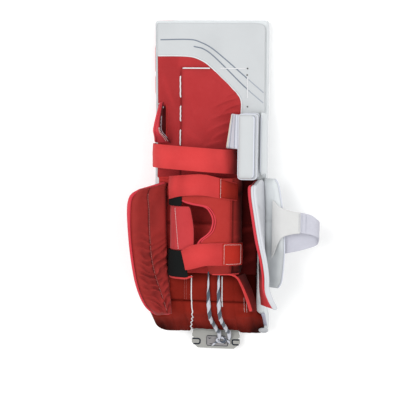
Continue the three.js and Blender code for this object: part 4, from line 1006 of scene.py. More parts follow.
def make_knee_strap():
    """The wide elastic strap over the knee, sewn at both ends."""
    # Painted shade: slightly darker left of the middle and towards the right, much darker at the right end
    # beside the knee block
    def tone(p):
        right_end_shade = 0.6 * smooth(p.x, 30, 72) ** 1.5
        return 0.1 * bell(p.x + 70, 24) + 0.12 * smooth(p.x, -20, 30) + right_end_shade

    low = lambda place: 403 - 7 * place
    high = lambda place: 461 - 7 * place
    strap, on_strap = add_strap("knee_strap_elastic", KNEE_ARCH, -1, 1, low, high, 0, STRAP_THICKNESS,
                                STRAP_RED, tail=24, wave=1.0, shade=tone)
    stand_for(strap, "knee_strap")
    lines = [trace(lambda v: over(on_strap, u, v, 3.4), 0.04, 0.96, 14) for u in (0.1, 0.93)]
    add_stitches("knee_strap_stitches", lines[:1], THREAD_WHITE, 4, 1.2)
    add_stitches("knee_strap_end_stitches", lines[1:], THREAD_RED, 4, 0.9)


# The calf straps, with edges as (place on the arch, low, high)
CALF_STRAPS = [
    {"name": "upper", "up": 362, "patch": 0.42, "skew": 0.0, "edges": [
        (-0.94, -0.57, 0.48), (-0.6, -0.41, 0.55), (0.0, -0.35, 0.61), (0.42, -0.46, 0.46),
        (0.86, -0.57, 0.22),
    ]},
    {"name": "lower", "up": 192, "patch": 0.52, "skew": 0.12, "edges": [
        (-0.56, -0.63, 0.26), (-0.3, -0.57, 0.52), (0.1, -0.39, 0.63), (0.57, -0.37, 0.67),
        (0.985, -0.37, 0.65),
    ]},
]
CALF_STRAP_WIDTH = 54
STRAP_LIFT = 8.6


def make_calf_straps():
    """The two elastic straps over the calf, each with a sewn end patch."""
    for strap in CALF_STRAPS:
        edges, up, name = strap["edges"], strap["up"], strap["name"]
        low = lambda p: up + look_up(edges, p, 1) * CALF_STRAP_WIDTH
        high = lambda p: up + look_up(edges, p, 2) * CALF_STRAP_WIDTH
        start, end = edges[0][0], edges[-1][0]
        # Painted shade: the straps darker towards the right and a little darker near their left end
        tone = lambda p: 0.08 + 0.12 * smooth(p.x, -20, 30) + 0.1 * bell(p.x + 62, 14)
        band, on_band = add_strap(f"calf_strap_{name}_elastic", CALF_ARCH, start, end, low, high, STRAP_LIFT,
                                  STRAP_THICKNESS, STRAP_RED, wave=0.9,
                                  skew=strap["skew"], shade=tone)
        stand_for(band, f"calf_strap_{name}")
        patch_end = min(end, 0.97)
        # Painted shade: the upper patch is shaded and darkens towards its right end; the lower one is shaded
        # only a little
        patch, on_patch = add_strap(f"calf_patch_{name}_cloth", CALF_ARCH, strap["patch"], patch_end,
                                    lambda p: low(p) + 1.5, lambda p: high(p) - 1.5, STRAP_LIFT + 3.1, 1.5,
                                    PATCH_RED, pitch=3, wave=0.5,
                                    shade=lambda p: 0.22 + 0.4 * smooth(p.x, 36, 66) if p.y > 280 else 0.04)
        stand_for(patch, f"calf_patch_{name}")
        lower = name == "lower"
        rim = [(0.05, 0.05), (0.05, 0.95), (0.83, 0.95), (0.83, 0.05), (0.05, 0.05)]
        path = [over(on_patch, u, v, 2.0) for u, v in places_along(rim, 12)]
        add_stitches(f"calf_patch_{name}_stitches", [path], THREAD_WHITE if lower else THREAD_DARK,
                     3.2, 1.0)
        if not lower:
            line = trace(lambda v: over(on_patch, 0.05, v, 2.2), count=14)
            add_stitches("calf_patch_upper_line", [line], THREAD_WHITE, 3.2, 1.1)
        rows = [trace(lambda u: over(on_band, u, v, 3.2), 0.05, 0.55, 30) for v in (0.05, 0.95)]
        add_stitches(f"calf_strap_{name}_stitches", rows, THREAD_RED, 3.5, 0.7)


HOOK_TABS = [
    {"node": "hook_tab", "foot": 141, "length": 65, "tip": -0.37, "head": -0.55},
    {"node": "hook_tab_upper", "foot": 316, "length": 65, "tip": -0.58, "head": -0.6},
]


def make_hook_tabs():
    """The black hook tabs that the straps close on, with the red binding that shows below the lower one."""
    for tab in HOOK_TABS:
        def on_tab(u, v, tab=tab):
            corner = 0.05 * (1 - rounded(min(v, 1 - v), 0.15))
            end = mix(tab["tip"], tab["head"], v) - corner
            return on_arch(CALF_ARCH, place_between(-1, end, u), tab["foot"] + tab["length"] * v, 4.8)

        cloth = add_panel(tab["node"] + "_tape", on_tab, 3, HOOK_BLACK, edge=2, thin=0.5,
                          pitch=3, relief=uneven(0.8, 18, 4))
        stand_for(cloth, tab["node"])
        if tab["node"] == "hook_tab":
            line = lambda place: on_arch(CALF_ARCH, place, 137.5 + 5 * smooth(place, -0.5, -0.3), 2.4)
            rim = trace(lambda t: line(place_between(-0.999, -0.26, t)), count=30)
            add_tube("hook_tab_binding", [rim], 3.0, STRAP_RED, flat=0.7, sides=10)


# The wrap's edges: (share of its length, place on the arch)
WRAP_EDGE = [
    (0.0, 0.24), (0.17, 0.02), (0.28, -0.16), (0.315, -0.13), (0.355, -0.06), (0.417, 0.15), (0.47, 0.25),
    (0.572, 0.29), (0.66, 0.19), (0.71, 0.02), (0.732, -0.33), (0.757, -0.56), (0.81, -0.8), (1.0, -0.8),
]
LEFT_WRAP_EDGE = [(0.0, -0.28), (0.5, -0.29), (0.85, -0.36), (1.0, -0.41)]
WRAP_CREASES = [
    (206, 0.5), (218, 0.7), (226, -0.2), (300, 0.3), (322, -0.4), (334, -0.15), (176, 0.2), (166, 0.1),
]
WRAP_THICKNESS = 4


def on_wrap(place, v):
    """A point of the calf wrap's base surface: v runs from its foot to its top."""
    return on_arch(CALF_ARCH, place, 150 + 235 * v, 0)


def make_calf_wraps():
    """The padded wrap that closes round the calf, with the piped edge of its open gap."""
    def on_right(u, v):
        return on_wrap(place_between(look_up(WRAP_EDGE, v), 1, u), v)

    def right_relief(u, v, width, length):
        p = on_right(u, v)
        seam = -1.8 * bell(p.x - 63, 2.6)
        panel = 1.2 * smooth(p.x, 10, 30) * (1 - smooth(p.x, 52, 60))
        crease = sum(1.4 * bell(p.y - y + slant * p.x, 3.2) for y, slant in WRAP_CREASES)
        crease *= 0.5 + noise.noise(p / 18)
        return seam + panel + crease + dimple(p.x, p.y, 0.8, 24, 2)

    def right_shade(u, v):
        p = on_right(u, v)
        # Painted shade: darker on the steep side past the seam, along the foot under the lower strap and in
        # a band under the upper strap
        side = 0.42 * smooth(p.x, 60.5, 64) + 0.24 * smooth(p.x, 68, 77) + 0.3 * bell(p.x - 62.5, 1.8)
        return clamp(side + 0.5 * (1 - smooth(p.y, 166, 178)) + 0.3 * bell(p.y - 347, 9))

    right = add_panel("calf_wrap_right_cloth", on_right, WRAP_THICKNESS, WRAP_RED, edge=3,
                      thin=0.6, pitch=2.4, relief=right_relief, shade=right_shade)
    stand_for(right, "calf_wrap_right", fill=0.5)
    edge = resample(trace(lambda v: over(on_right, 0.0, v, 2.6), 0.28, 0.83, 89), 3)
    add_tube("calf_wrap_piping", [edge], 2.6, EDGE_RED, flat=0.9, sides=12)
    inner = [p + Vector((8.5, 0, 1.6)) for p in edge[6:-14]]
    beside = [[p + Vector((out, 0, up)) for p in edge[4:-10]] for out, up in ((5.8, 1.0), (3.2, 1.3))]
    add_tube("calf_wrap_inner_piping", beside[:1], 1.9, EDGE_RED, sides=8)
    # Painted shade: a thin dark tube in the groove between the two pipings
    add_tube("calf_wrap_groove", beside[1:], 0.9, THREAD_DARK, sides=6)
    add_stitches("calf_wrap_stitches", [inner], THREAD_DARK, 3.5, 1.0)
    foot = trace(lambda u: over(on_right, u, 0.0, 3.0), 0.02, 0.8, 50)
    add_tube("calf_wrap_foot_piping", [foot], 1.8, STRAP_RED, sides=8)
    seams = [trace(lambda v: over(on_wrap, place, v, 5), 0.06, 0.94) for place in (0.75, 0.79)]
    add_stitches("calf_wrap_seams", seams, THREAD_DARK, 4, 1.0)

    def on_left(u, v):
        return on_arch(CALF_ARCH, place_between(-1, look_up(LEFT_WRAP_EDGE, v), u), 207 + 108 * v, 0)

    def left_relief(u, v, width, length):
        p = on_left(u, v)
        return dimple(p.x, p.y, 0.9, 26, 7) - 1.0 * bell(p.x + 80, 2.5)

    left = add_panel("calf_wrap_left_cloth", on_left, WRAP_THICKNESS, SALMON, edge=3,
                     thin=0.6, pitch=2.6, relief=left_relief)
    stand_for(left, "calf_wrap_left", fill=0.5)
    line = trace(lambda t: on_arch(CALF_ARCH, mix(-0.795, -0.68, t), mix(311, 209, t), 4.7), count=30)
    add_stitches("calf_wrap_left_stitches", [line], THREAD_WHITE, 4, 1.0)
    rim = trace(lambda v: over(on_left, 1.0, v, 2.4), 0.02, 0.98)
    add_tube("calf_wrap_left_edge", [rim], 2.2, SALMON, sides=10)


# The web: (share of its length, left, right, rise)
WEB = [(0.0, 1.0, 1.0, 0.1), (0.35, 0.72, 0.82, 0.4), (0.7, 0.38, 0.48, 0.7), (1.0, 0.0, 0.1, 0.95)]


def make_web():
    """The slanting web below the wrap, from under it down to the boot's inner side, with its bound edge."""
    def on_web(u, v):
        left, right, rise = row_at(WEB, v)
        height = CALF_ARCH[2] * rise * 0.9 * (1 - u)
        return Vector((mix(79 + 33 * left, 86 + 36 * right, u), mix(52, 145.8, v), SEAT + height))

    # Painted shade: the whole web is darkened, deep in the channel's shade
    web = add_panel("calf_web_cloth", on_web, 3, WRAP_RED, edge=2, thin=0.6, pitch=3,
                    relief=uneven(0.8, 18, 6), shade=lambda u, v: 0.8)
    stand_for(web, "calf_web")
    rim = trace(lambda v: on_web(0, v) + Vector((-1.5, 0, 1)), 0.02, 0.84)
    start, turn, end = rim[-1], Vector((77, 151, 66)), Vector((54, 150.5, 69.5))
    rim += trace(lambda t: start.lerp(turn, t).lerp(turn.lerp(end, t), t), count=12)[1:]
    add_tube("calf_web_binding", [resample(rim, 3)], lambda t: mix(6.4, 1.8, t), STRAP_RED,
             flat=0.5, sides=12)


# The wings beside the calf; the outer one as (share of its length, root, edge, rise)
OUTER_WING = [
    (0.0, 0.12, 0.3, 0.25), (0.03, 0.1, 0.42, 0.45), (0.08, 0.09, 0.55, 0.66), (0.18, 0.05, 0.7, 0.84),
    (0.3, 0.0, 0.81, 0.94), (0.5, -0.03, 0.92, 1.0), (0.68, -0.06, 0.98, 1.0), (0.84, -0.07, 0.99, 1.0),
    (0.93, -0.07, 0.96, 0.95), (0.97, -0.07, 0.89, 0.85), (1.0, -0.06, 0.74, 0.6),
]
OUTER_ROOT = -103
OUTER_FOOT = 40
OUTER_WIDTH = 88
OUTER_LENGTH = 323
OUTER_HEIGHT = 62
FOLD_PITCH = 18


def wing_folds(off, along, v):
    """Folds that run down to the seam from both sides, strongest in the lower half."""
    phase = along - (0.55 if off < 0 else 0.3) * abs(off)
    drift = noise.noise(Vector((off / 34, along / 30, 4.0))) * 2.4
    ridge = (1 - abs(math.sin(math.pi * phase / FOLD_PITCH + drift))) ** 1.4
    patchy = clamp(0.75 + 1.3 * noise.noise(Vector((off / 22, along / 22, 9.0))), 0.1, 1.3)
    return 8.5 * (ridge - 0.3) * patchy * smooth(0.72 - v, 0, 0.3)


def make_outer_wing():
    """The padded outer wing in two long panels, with a sunk seam between them and a bright binding."""
    def on_wing(u, v):
        root, edge, rise = row_at(OUTER_WING, v)
        x = mix(OUTER_ROOT + 92 * root, OUTER_ROOT - OUTER_WIDTH * edge, u)
        lift = (7 - 19 * u) * smooth(v, 0.75, 1.0)
        y = OUTER_FOOT + OUTER_LENGTH * v + lift
        return Vector((x, y, SEAT + OUTER_HEIGHT * rise * u**1.35))

    seam_at = lambda v: mix(0.3, 0.57, smooth(v, -0.1, 0.5)) + 0.08 * smooth(v, 0.8, 1.0)

    def relief(u, v, width, length):
        off = (seam_at(v) - u) * width
        along = v * length
        puff = 1.2 * math.cos(math.pi * clamp((u - seam_at(v)) * 1.6, -0.5, 0.5)) ** 2
        wander = 2 * noise.noise(Vector((off, along, 0)) / 20)
        pucker = 0.5 * math.sin(along / 2.9 + wander) * bell(abs(off) - 5, 4)
        soft = dimple(off, along, 1.6, 34, 1)
        return wing_folds(-off, along, v) - 3 * bell(off, 2.2) - puff + pucker + soft

    # Painted shade along the sunk seam between the two panels
    wing = add_panel("wing_outer_cloth", on_wing, 17, WING_RED, edge=15, thin=0.3, pitch=2.2,
                     side=-1, relief=relief, back=3,
                     shade=lambda u, v: 0.3 * bell((u - seam_at(v)) * 100, 2))
    stand_for(wing, "wing_outer", fill=0.7)
    rim = trace(lambda u: on_wing(u, 0.0), 0.06, 1.0, 8)
    rim += trace(lambda v: on_wing(1.0, v), count=70)[1:]
    rim += trace(lambda u: on_wing(u, 1.0), 1.0, 0.04, 24)[1:]
    rim = resample([p + Vector((-1.2, 0, 4.2)) for p in rim], 4)
    thick = lambda t: 2.6 + 1.3 * smooth(t, 0.1, 0.5) + 1.6 * bell(t - 0.72, 0.1)
    add_tube("wing_outer_binding", [rim], thick, EDGE_RED, flat=0.9, sides=12)
    line = trace(lambda v: over(on_wing, seam_at(v), v, -15.4), 0.03, 0.955, 90)
    add_stitches("wing_outer_stitches", [line], THREAD_ROSE, 4.2, 1.7)


# The inner wing: (share of its length, root, edge, rise)
INNER_WING = [
    (0.0, 6, 41, 0.6), (0.08, 4, 30, 0.7), (0.19, 2, 21, 0.8), (0.3, 1, 20, 0.88), (0.42, 0, 15, 0.95),
    (0.58, 0, 4, 1.0), (0.8, 0, -8, 1.0), (0.92, -1, -14, 1.0), (0.98, -2, -15, 0.99), (1.0, -3, -14, 0.95),
]


INNER_CREASES = [(118, 0.2), (158, 0.55), (236, 0.35), (262, 0.7)]
INNER_ROOT = 137
INNER_FOOT = 55
INNER_LENGTH = 315
INNER_HEIGHT = 97


def on_inner_wing(u, v):
    root, edge, rise = row_at(INNER_WING, v)
    peak = 13 * smooth(v, 0.8, 1.0) * bell(u - 0.35, 0.4) + 13 * (1 - smooth(v, 0.0, 0.3))
    y = INNER_FOOT + INNER_LENGTH * v + peak
    return Vector((INNER_ROOT + mix(root, edge, u), y, CLEAR + INNER_HEIGHT * rise * u))


def make_inner_wing():
    """The inner wing: white outside, lined red, with a pale piping along its free edge."""
    def relief(u, v, width, length):
        creases = sum(1.5 * bell(v * length - y - slant * u * width, 5) for y, slant in INNER_CREASES)
        creases *= 0.5 + 1.2 * noise.noise(Vector((u * width, v * length, 5.0)) / 24)
        return dimple(u * width, v * length, 2.0, 34, 11) - creases * smooth(u, 0.2, 0.5)

    wing = add_panel("wing_inner_cover", on_inner_wing, 10, WING_WHITE, edge=7, thin=0.5,
                     pitch=3.2, relief=relief, back=2.5)
    stand_for(wing, "wing_inner", fill=0.7)
    inside = lambda u, v: on_inner_wing(u, v) - Vector((10.4, 0, 0))

    # Painted shade on the red lining: under the wrap and towards the wing's root
    def tone(u, v):
        shade_under_wrap = 0.75 * smooth(v, 0.2, 0.34) * (1 - smooth(u, 0.86, 0.96))
        return shade_under_wrap + 0.4 * (1 - smooth(u, 0.1, 0.6))

    lining = add_panel("wing_inner_cloth", inside, 3, FLAP_RED, edge=3, thin=0.5,
                       pitch=3.2, relief=uneven(1.4, 26, 12), shade=tone,
                       inner_shade=lambda u, v: clamp(tone(u, v)))
    stand_for(lining, "wing_inner_lining", fill=0.5)
    rim = resample(trace(lambda v: on_inner_wing(1.0, v) + Vector((-9.2, 0, 0.6)), count=80), 5)
    pale = [p + Vector((2.2, 0, -0.6)) for p in rim]
    add_tube("wing_inner_piping", [pale], lambda t: mix(1.6, 3.2, smooth(t, 0, 0.3)), WING_WHITE,
             sides=12)
    red = [p + Vector((-4.6, 0, -3.4)) for p in rim]
    add_tube("wing_inner_binding", [red], lambda t: mix(2.6, 4.0, smooth(t, 0.2, 0.6)), EDGE_RED,
             sides=10)


# The flap outside the inner wing: (share of its length, share of its width)
WING_FLAP = [
    (0.0, 0.7), (0.04, 0.85), (0.12, 0.93), (0.35, 1.0), (0.6, 0.93), (0.8, 0.81), (0.96, 0.64), (1.0, 0.5),
]
FLAP_FOOT = 113
FLAP_LENGTH = 272
FLAP_WIDTH = 52


def inner_wing_face(y, z):
    """How far out the inner wing's outer face stands at a height up the leg and off the board."""
    up = clamp((y - INNER_FOOT) / INNER_LENGTH)
    root, edge, rise = row_at(INNER_WING, up)
    return INNER_ROOT + mix(root, edge, (z - CLEAR) / (INNER_HEIGHT * rise))


def on_wing_flap(u, v):
    y = FLAP_FOOT + FLAP_LENGTH * v
    left = 1.2 + max(inner_wing_face(y, CLEAR), inner_wing_face(y, 13))
    right = INNER_ROOT + FLAP_WIDTH * look_up(WING_FLAP, v)
    return Vector((mix(left, right, u), y, CLEAR + 16 * u**1.3))


def make_wing_flap():
    """The padded flap outside the inner wing, crowned, with a piped outer edge."""
    def relief(u, v, width, length):
        crease = 1.6 * bell(v * length - 168, 5) * (1 - u)
        return dimple(u * width, v * length, 2.2, 30, 13) - crease

    # Painted shade: darker towards the flap's foot and along its side next to the wing
    tone = lambda u, v: 0.3 * (1 - smooth(v, 0.25, 0.6)) + 0.35 * (1 - smooth(u, 0.0, 0.3))
    flap = add_panel("wing_flap_cover", on_wing_flap, 13, WHITE, edge=13, thin=0.3, pitch=3,
                     relief=relief, back=2, shade=tone)
    stand_for(flap, "wing_flap", fill=0.8)
    rim = trace(lambda v: on_wing_flap(1.0, v) + Vector((0.6, 0, 2.2)), count=60)
    add_tube("wing_flap_piping", [resample(rim, 5)], 1.7, LAVENDER, sides=8)


# The side strap: (share of its length, low, high, lift)
SIDE_STRAP = [
    (0.0, 0.0, 1.0, 0.0), (0.09, 0.1, 0.97, 0.2), (0.2, 0.25, 0.91, 0.4), (0.34, 0.36, 0.87, 0.62),
    (0.6, 0.42, 0.83, 0.85), (1.0, 0.455, 0.8, 1.0),
]
FAN_FOOT = FLAP_FOOT + FLAP_LENGTH * 0.28
FAN_WIDTH = 144
FAN_END = 229
# The strap's tab: (share of its length, out, drop, down, width)
SIDE_TAB = [
    (0.0, 0.0, 0, 0, 1.0), (0.14, 0.6, 0, 5, 0.96), (0.28, 0.88, 3, 12, 0.88), (0.42, 1.0, 11, 18, 0.84),
    (0.56, 0.97, 22, 28, 0.84), (0.7, 0.8, 30, 38, 0.86), (0.86, -0.084, 34, 50, 0.9),
    (1.0, -0.967, 34, 58, 0.92),
]


def make_side_strap():
    """The ivory elastic strap that fans out over the flap, and the hook tab that loops back at its end."""
    start = INNER_ROOT + FLAP_WIDTH * 0.42

    def on_strap(u, v):
        low, high, lift = row_at(SIDE_STRAP, u)
        return Vector((mix(start, FAN_END, u), FAN_FOOT + FAN_WIDTH * mix(low, high, v), 25 + 17 * lift))

    strap = add_panel("side_strap_elastic", on_strap, STRAP_THICKNESS, IVORY_ELASTIC, edge=1.3,
                      thin=0.5, pitch=3, relief=uneven(0.8, 24, 15))
    stand_for(strap, "side_strap")
    hem = trace(lambda v: over(on_strap, 0.96, v, 3.1), 0.06, 0.94, 14)
    rim = trace(lambda u: over(on_strap, u, 0.0, 1.4))
    add_stitches("side_strap_stitches", [hem], THREAD_GREY, 4, 1.3)
    add_tube("side_strap_edge", [rim], 1.5, IVORY_ELASTIC, sides=8)

    middle = FAN_FOOT + FAN_WIDTH * mix(0.455, 0.8, 0.5)

    def on_tab(u, v):
        out, drop, down, width = row_at(SIDE_TAB, u)
        return Vector((229.4 + 43 * out, middle - down + 50 * width * (v - 0.5), 42 - drop))

    tab = add_panel("side_strap_tape", on_tab, STRAP_THICKNESS, HOOK_GREY, edge=1.2,
                    thin=0.5, pitch=2.6, relief=uneven(0.7, 20, 16))
    stand_for(tab, "side_strap_tab")
    ends = [trace(lambda v: over(on_tab, u, v, 3.0), 0.06, 0.94, 12) for u in (0.02, 0.07)]
    add_stitches("side_strap_tape_stitches", ends, THREAD_GREY, 3.5, 1.0)


# The shin's and the boot's linings
SHIN_WRINKLES = [
    (-132, 380, -70, 374, 3.6, 4, 3), (-130, 368, -76, 354, 4.6, 4, 5), (-132, 352, -96, 340, 3.8, 4, -3),
    (-118, 338, -70, 354, 3.2, 4, 3), (-66, 374, 50, 368, 3.4, 4, 3), (-30, 362, 60, 358, 2.8, 4, -3),
    (70, 250, 118, 268, 1.2, 8, 3), (66, 210, 118, 222, 1.2, 8, 3), (70, 172, 118, 190, 1.1, 8, 2),
]
SEAM_STEP = 268


def make_shin():
    """The lining in the leg channel, in two parts with a step between them."""
    place = lambda u, v: (mix(-130, 120.0, u), mix(101.2, 381, v))

    def relief(u, v, width, length):
        x, s = place(u, v)
        return rise_of(SHIN_WRINKLES, x, s) - 2.4 * bell(s - SEAM_STEP, 3) + dimple(x, s, 1.2, 40, 21)

    # Painted shade: near black deep in the leg channel, dark beside the outer wing's root, in the creases
    # under the knee strap, and in the wrap's opening above the seam step
    def shade(u, v):
        x, s = place(u, v)
        channel_shade = 0.97 * smooth(x, 52, 84) * smooth(s, 100, 130)
        channel_shade += 0.6 * bell(x + 101, 10) * (1 - smooth(s, 335, 350))
        channel_shade += 0.4 * smooth(s, 338, 348) * (1 - clamp(rise_of(SHIN_WRINKLES, x, s) / 2))
        hole_shade = mix(0.05, 0.5, smooth(s, SEAM_STEP - 4, SEAM_STEP + 2))
        return clamp(channel_shade + hole_shade * smooth(x, -90, -50) * (1 - smooth(s, 340, 372)))

    shin = add_panel("shin_cloth", lambda u, v: on_pad(*place(u, v), CLEAR), LINING_THICKNESS, SHIN_RED,
                     edge=6, thin=0.5, pitch=3.2, relief=relief, shade=shade)
    stand_for(shin, "shin_lining", fill=0.6)
    line = [on_pad(x, SEAM_STEP + 5, 10.8) for x in range(-120, 112, 6)]
    line_low = [on_pad(x, 374, 10.4) for x in range(-122, 76, 6)]
    add_stitches("shin_stitches", [line, line_low], THREAD_DARK, 5, 1.0)
    joint = [on_pad(x, 381.8, 6.4 + 0.8 * math.sin(x / 9)) for x in range(-131, 76, 3)]
    add_tube("shin_joint", [joint], 4.2, SHIN_RED, sides=12)


BOOT_LEFT = -154.7
BOOT_RIGHT = 131.0
BOOT_TOP = 146
CROSS_SEAM = 76
BOOT_WRINKLES = [
    (-150, 60, -90, 46, 1.8, 5, 3), (-148, 20, -100, 30, 1.7, 6, 3), (-60, 52, -20, 42, 1.4, 6, 3),
    (20, 30, 60, 20, 1.3, 6, 3), (70, 60, 116, 70, 1.8, 5, 3), (66, 36, 118, 44, 1.6, 6, 3),
    (-130, 96, -90, 108, 1.2, 6, 2), (-40, 124, 0, 112, 1.0, 6, 2),
]


def boot_relief(x, s):
    """Soft foam with the seam across it, faint seams down it, and folds that fan out below the seam."""
    soft = dimple(x, s, 1.8, 44, 31) + rise_of(BOOT_WRINKLES, x, s)
    below = 1 - smooth(s, CROSS_SEAM - 10, CROSS_SEAM)
    soft += 1.5 * noise.noise(Vector((x / 12, s / 90, 7.0))) * below
    grooves = 3.4 * bell(s - CROSS_SEAM, 2.2) + 1.0 * bell(x + 47, 3) + 0.8 * bell(x - 36, 3)
    return soft - grooves - sum(0.9 * bell(x - line, 1.6) for line in (-64, 64, -100))


def boot_shade(x, s):
    """Painted shade: dark in the seam, under the wings and round the boot's lower end."""
    tone = 0.06 + 0.62 * (1 - smooth(s, -84, 30))
    tone += 0.5 * bell(s - CROSS_SEAM, 1.8) + 0.12 * smooth(s, 74, 80)
    tone += 0.7 * smooth(x, 66, 104) * smooth(s, 76, 110) + 0.45 * smooth(x, 86, 112)
    return clamp(tone + 0.3 * (1 - smooth(x, -122, -96)) + 0.4 * smooth(s, 116, 142))


BOOT_THICKNESS = 13.4


def over_boot(x, s, lift):
    """A point a little above the boot's padded cloth."""
    return on_pad(x, s, CLEAR + BOOT_THICKNESS + boot_relief(x, s) + lift)


def make_boot():
    """The boot's padded lining with a seam across it, its foot set back behind the toe plate."""
    def place(u, v):
        x = mix(BOOT_LEFT, BOOT_RIGHT, u)
        foot = TOE_END + 16.2 * (smooth(x, -67, -61) - smooth(x, 61, 67))
        foot += 52 * (1 - rounded(x - BOOT_LEFT, 28)) + 36 * (1 - rounded(BOOT_RIGHT - x, 24))
        s = mix(foot, BOOT_TOP, v)
        return x + 22 * (1 - u) * smooth(s, 84, 104) - 11 * u * smooth(s, 15, 45), s

    on_boot = lambda u, v: on_pad(*place(u, v), CLEAR)
    cloth = add_panel("boot_cloth", on_boot, BOOT_THICKNESS, BOOT_RED, edge=11,
                      thin=0.4, pitch=2.6, relief=lambda u, v, width, length: boot_relief(*place(u, v)),
                      shade=lambda u, v: boot_shade(*place(u, v)))
    stand_for(cloth, "boot_lining_left", "boot_lining_middle", "boot_lining_right", fill=0.7)
    seam = [over_boot(x, CROSS_SEAM + 4.5, 0.4) for x in range(-146, 116, 4)]
    down = [[over_boot(x, s, 0.4) for s in range(low, 140, 4)]
            for x, low in ((-56, 80), (-61, 80), (-100, 40), (-104, 40))]
    marks = [[over_boot(x, s, 0.4) for s in range(52, 92, 4)] for x in (90, 96)]
    add_stitches("boot_seam_stitches", [seam], THREAD_DARK, 4, 0.9)
    add_stitches("boot_side_stitches", down, THREAD_ROSE, 3.5, 0.8)
    add_stitches("boot_tack_stitches", marks, THREAD_WHITE, 3, 0.9)


def make_boot_laces():
    """The white laces down the boot's lining and the two twisted laces that tie to the toe."""
    for node, x, end, spread in (("boot_lace_left", -43, -70, -17), ("boot_lace_right", 34.5, 66, 0)):
        points = []
        for i in range(90):
            share = i / 89
            s = mix(138, end, share)
            sway = 1.6 * math.sin(i * 0.55) * (1 - smooth(s, 40, 66))
            points.append(over_boot(x + sway + spread * smooth(-s, -60, 70), s, 0.9))
        lace = on_ribbon(node + "_cord", points, 3.0, 2.0, LACE_WHITE)
        stand_for(lace, node)
    drift = 10
    for side, x, top in (("left", 1, 2.0), ("right", 27, 3.2)):
        path = [on_pad(x, s, 12 + (s - 60) * 0.03 + 8) for s in range(150, 96, -6)]
        path += [on_pad(x + drift * smooth(100 - s, 60, 190), s, 19) for s in range(96, -66, -6)]
        toe = on_pad(x + drift, TOE_END + 6, 12)
        end = toe_point(0.42, 5.2, x + drift)
        path += trace(lambda t: toe.lerp(end, t) + Vector((0, 0, 3 * math.sin(math.pi * t))), count=4)
        thick = lambda t: mix(top, 5.4, smooth(t, 0.02, 0.34))
        lace = add_tube(f"toe_lace_{side}_cord", [resample(path, 2)], thick, LACE_TWIST,
                        flat=0.84, sides=20, up=(0, 0, 1), twist=1 / 58, ends=0.8)
        stand_for(lace, f"toe_lace_{side}")


# The toe
TOE_BEND = on_pad(0, TOE_END - 6, CLEAR)


def toe_point(share, lift, x):
    """A point on the toe plate's top: share 0 at its bend and 1 at its free end."""
    y = mix(TOE_BEND.y - 3, TOE_BEND.y - 52, share)
    z = mix(TOE_BEND.z + 2, TOE_BEND.z - 0.5, smooth(share, 0, 1))
    return Vector((x, y, z + lift))


# The toe plate: (share of its length, half width)
TOE_OUTLINE = [
    (0.0, 60), (0.18, 62), (0.25, 63), (0.36, 63), (0.38, 63), (0.39, 59.5), (0.46, 59.5), (0.47, 63),
    (0.5, 64), (0.7, 64), (0.72, 63.5), (0.995, 48), (1.0, 46),
]
TOE_THICKNESS = 3.5
HOOK_LEFT = [(62, 0.5), (46, 0.5), (42.5, 0.54), (41.5, 0.6), (42.5, 0.74), (46, 0.79), (60, 0.79)]
HOOK_RIGHT = [(62, 0.5), (47, 0.5), (44, 0.53), (43.5, 0.6), (44.5, 0.72), (47, 0.77), (61, 0.77)]
TOE_SLOTS = [(-8, 0.74, 8), (24, 0.66, 7), (-16, 0.42, 5), (32, 0.46, 4)]
LACE_TAILS = [
    [(0.46, 7, 22), (0.5, 8, 30), (0.6, 7, 36), (0.7, 5.4, 38)],
    [(0.5, 7, 12), (0.6, 7, 4), (0.74, 6, -4), (0.84, 5.4, -10)],
]


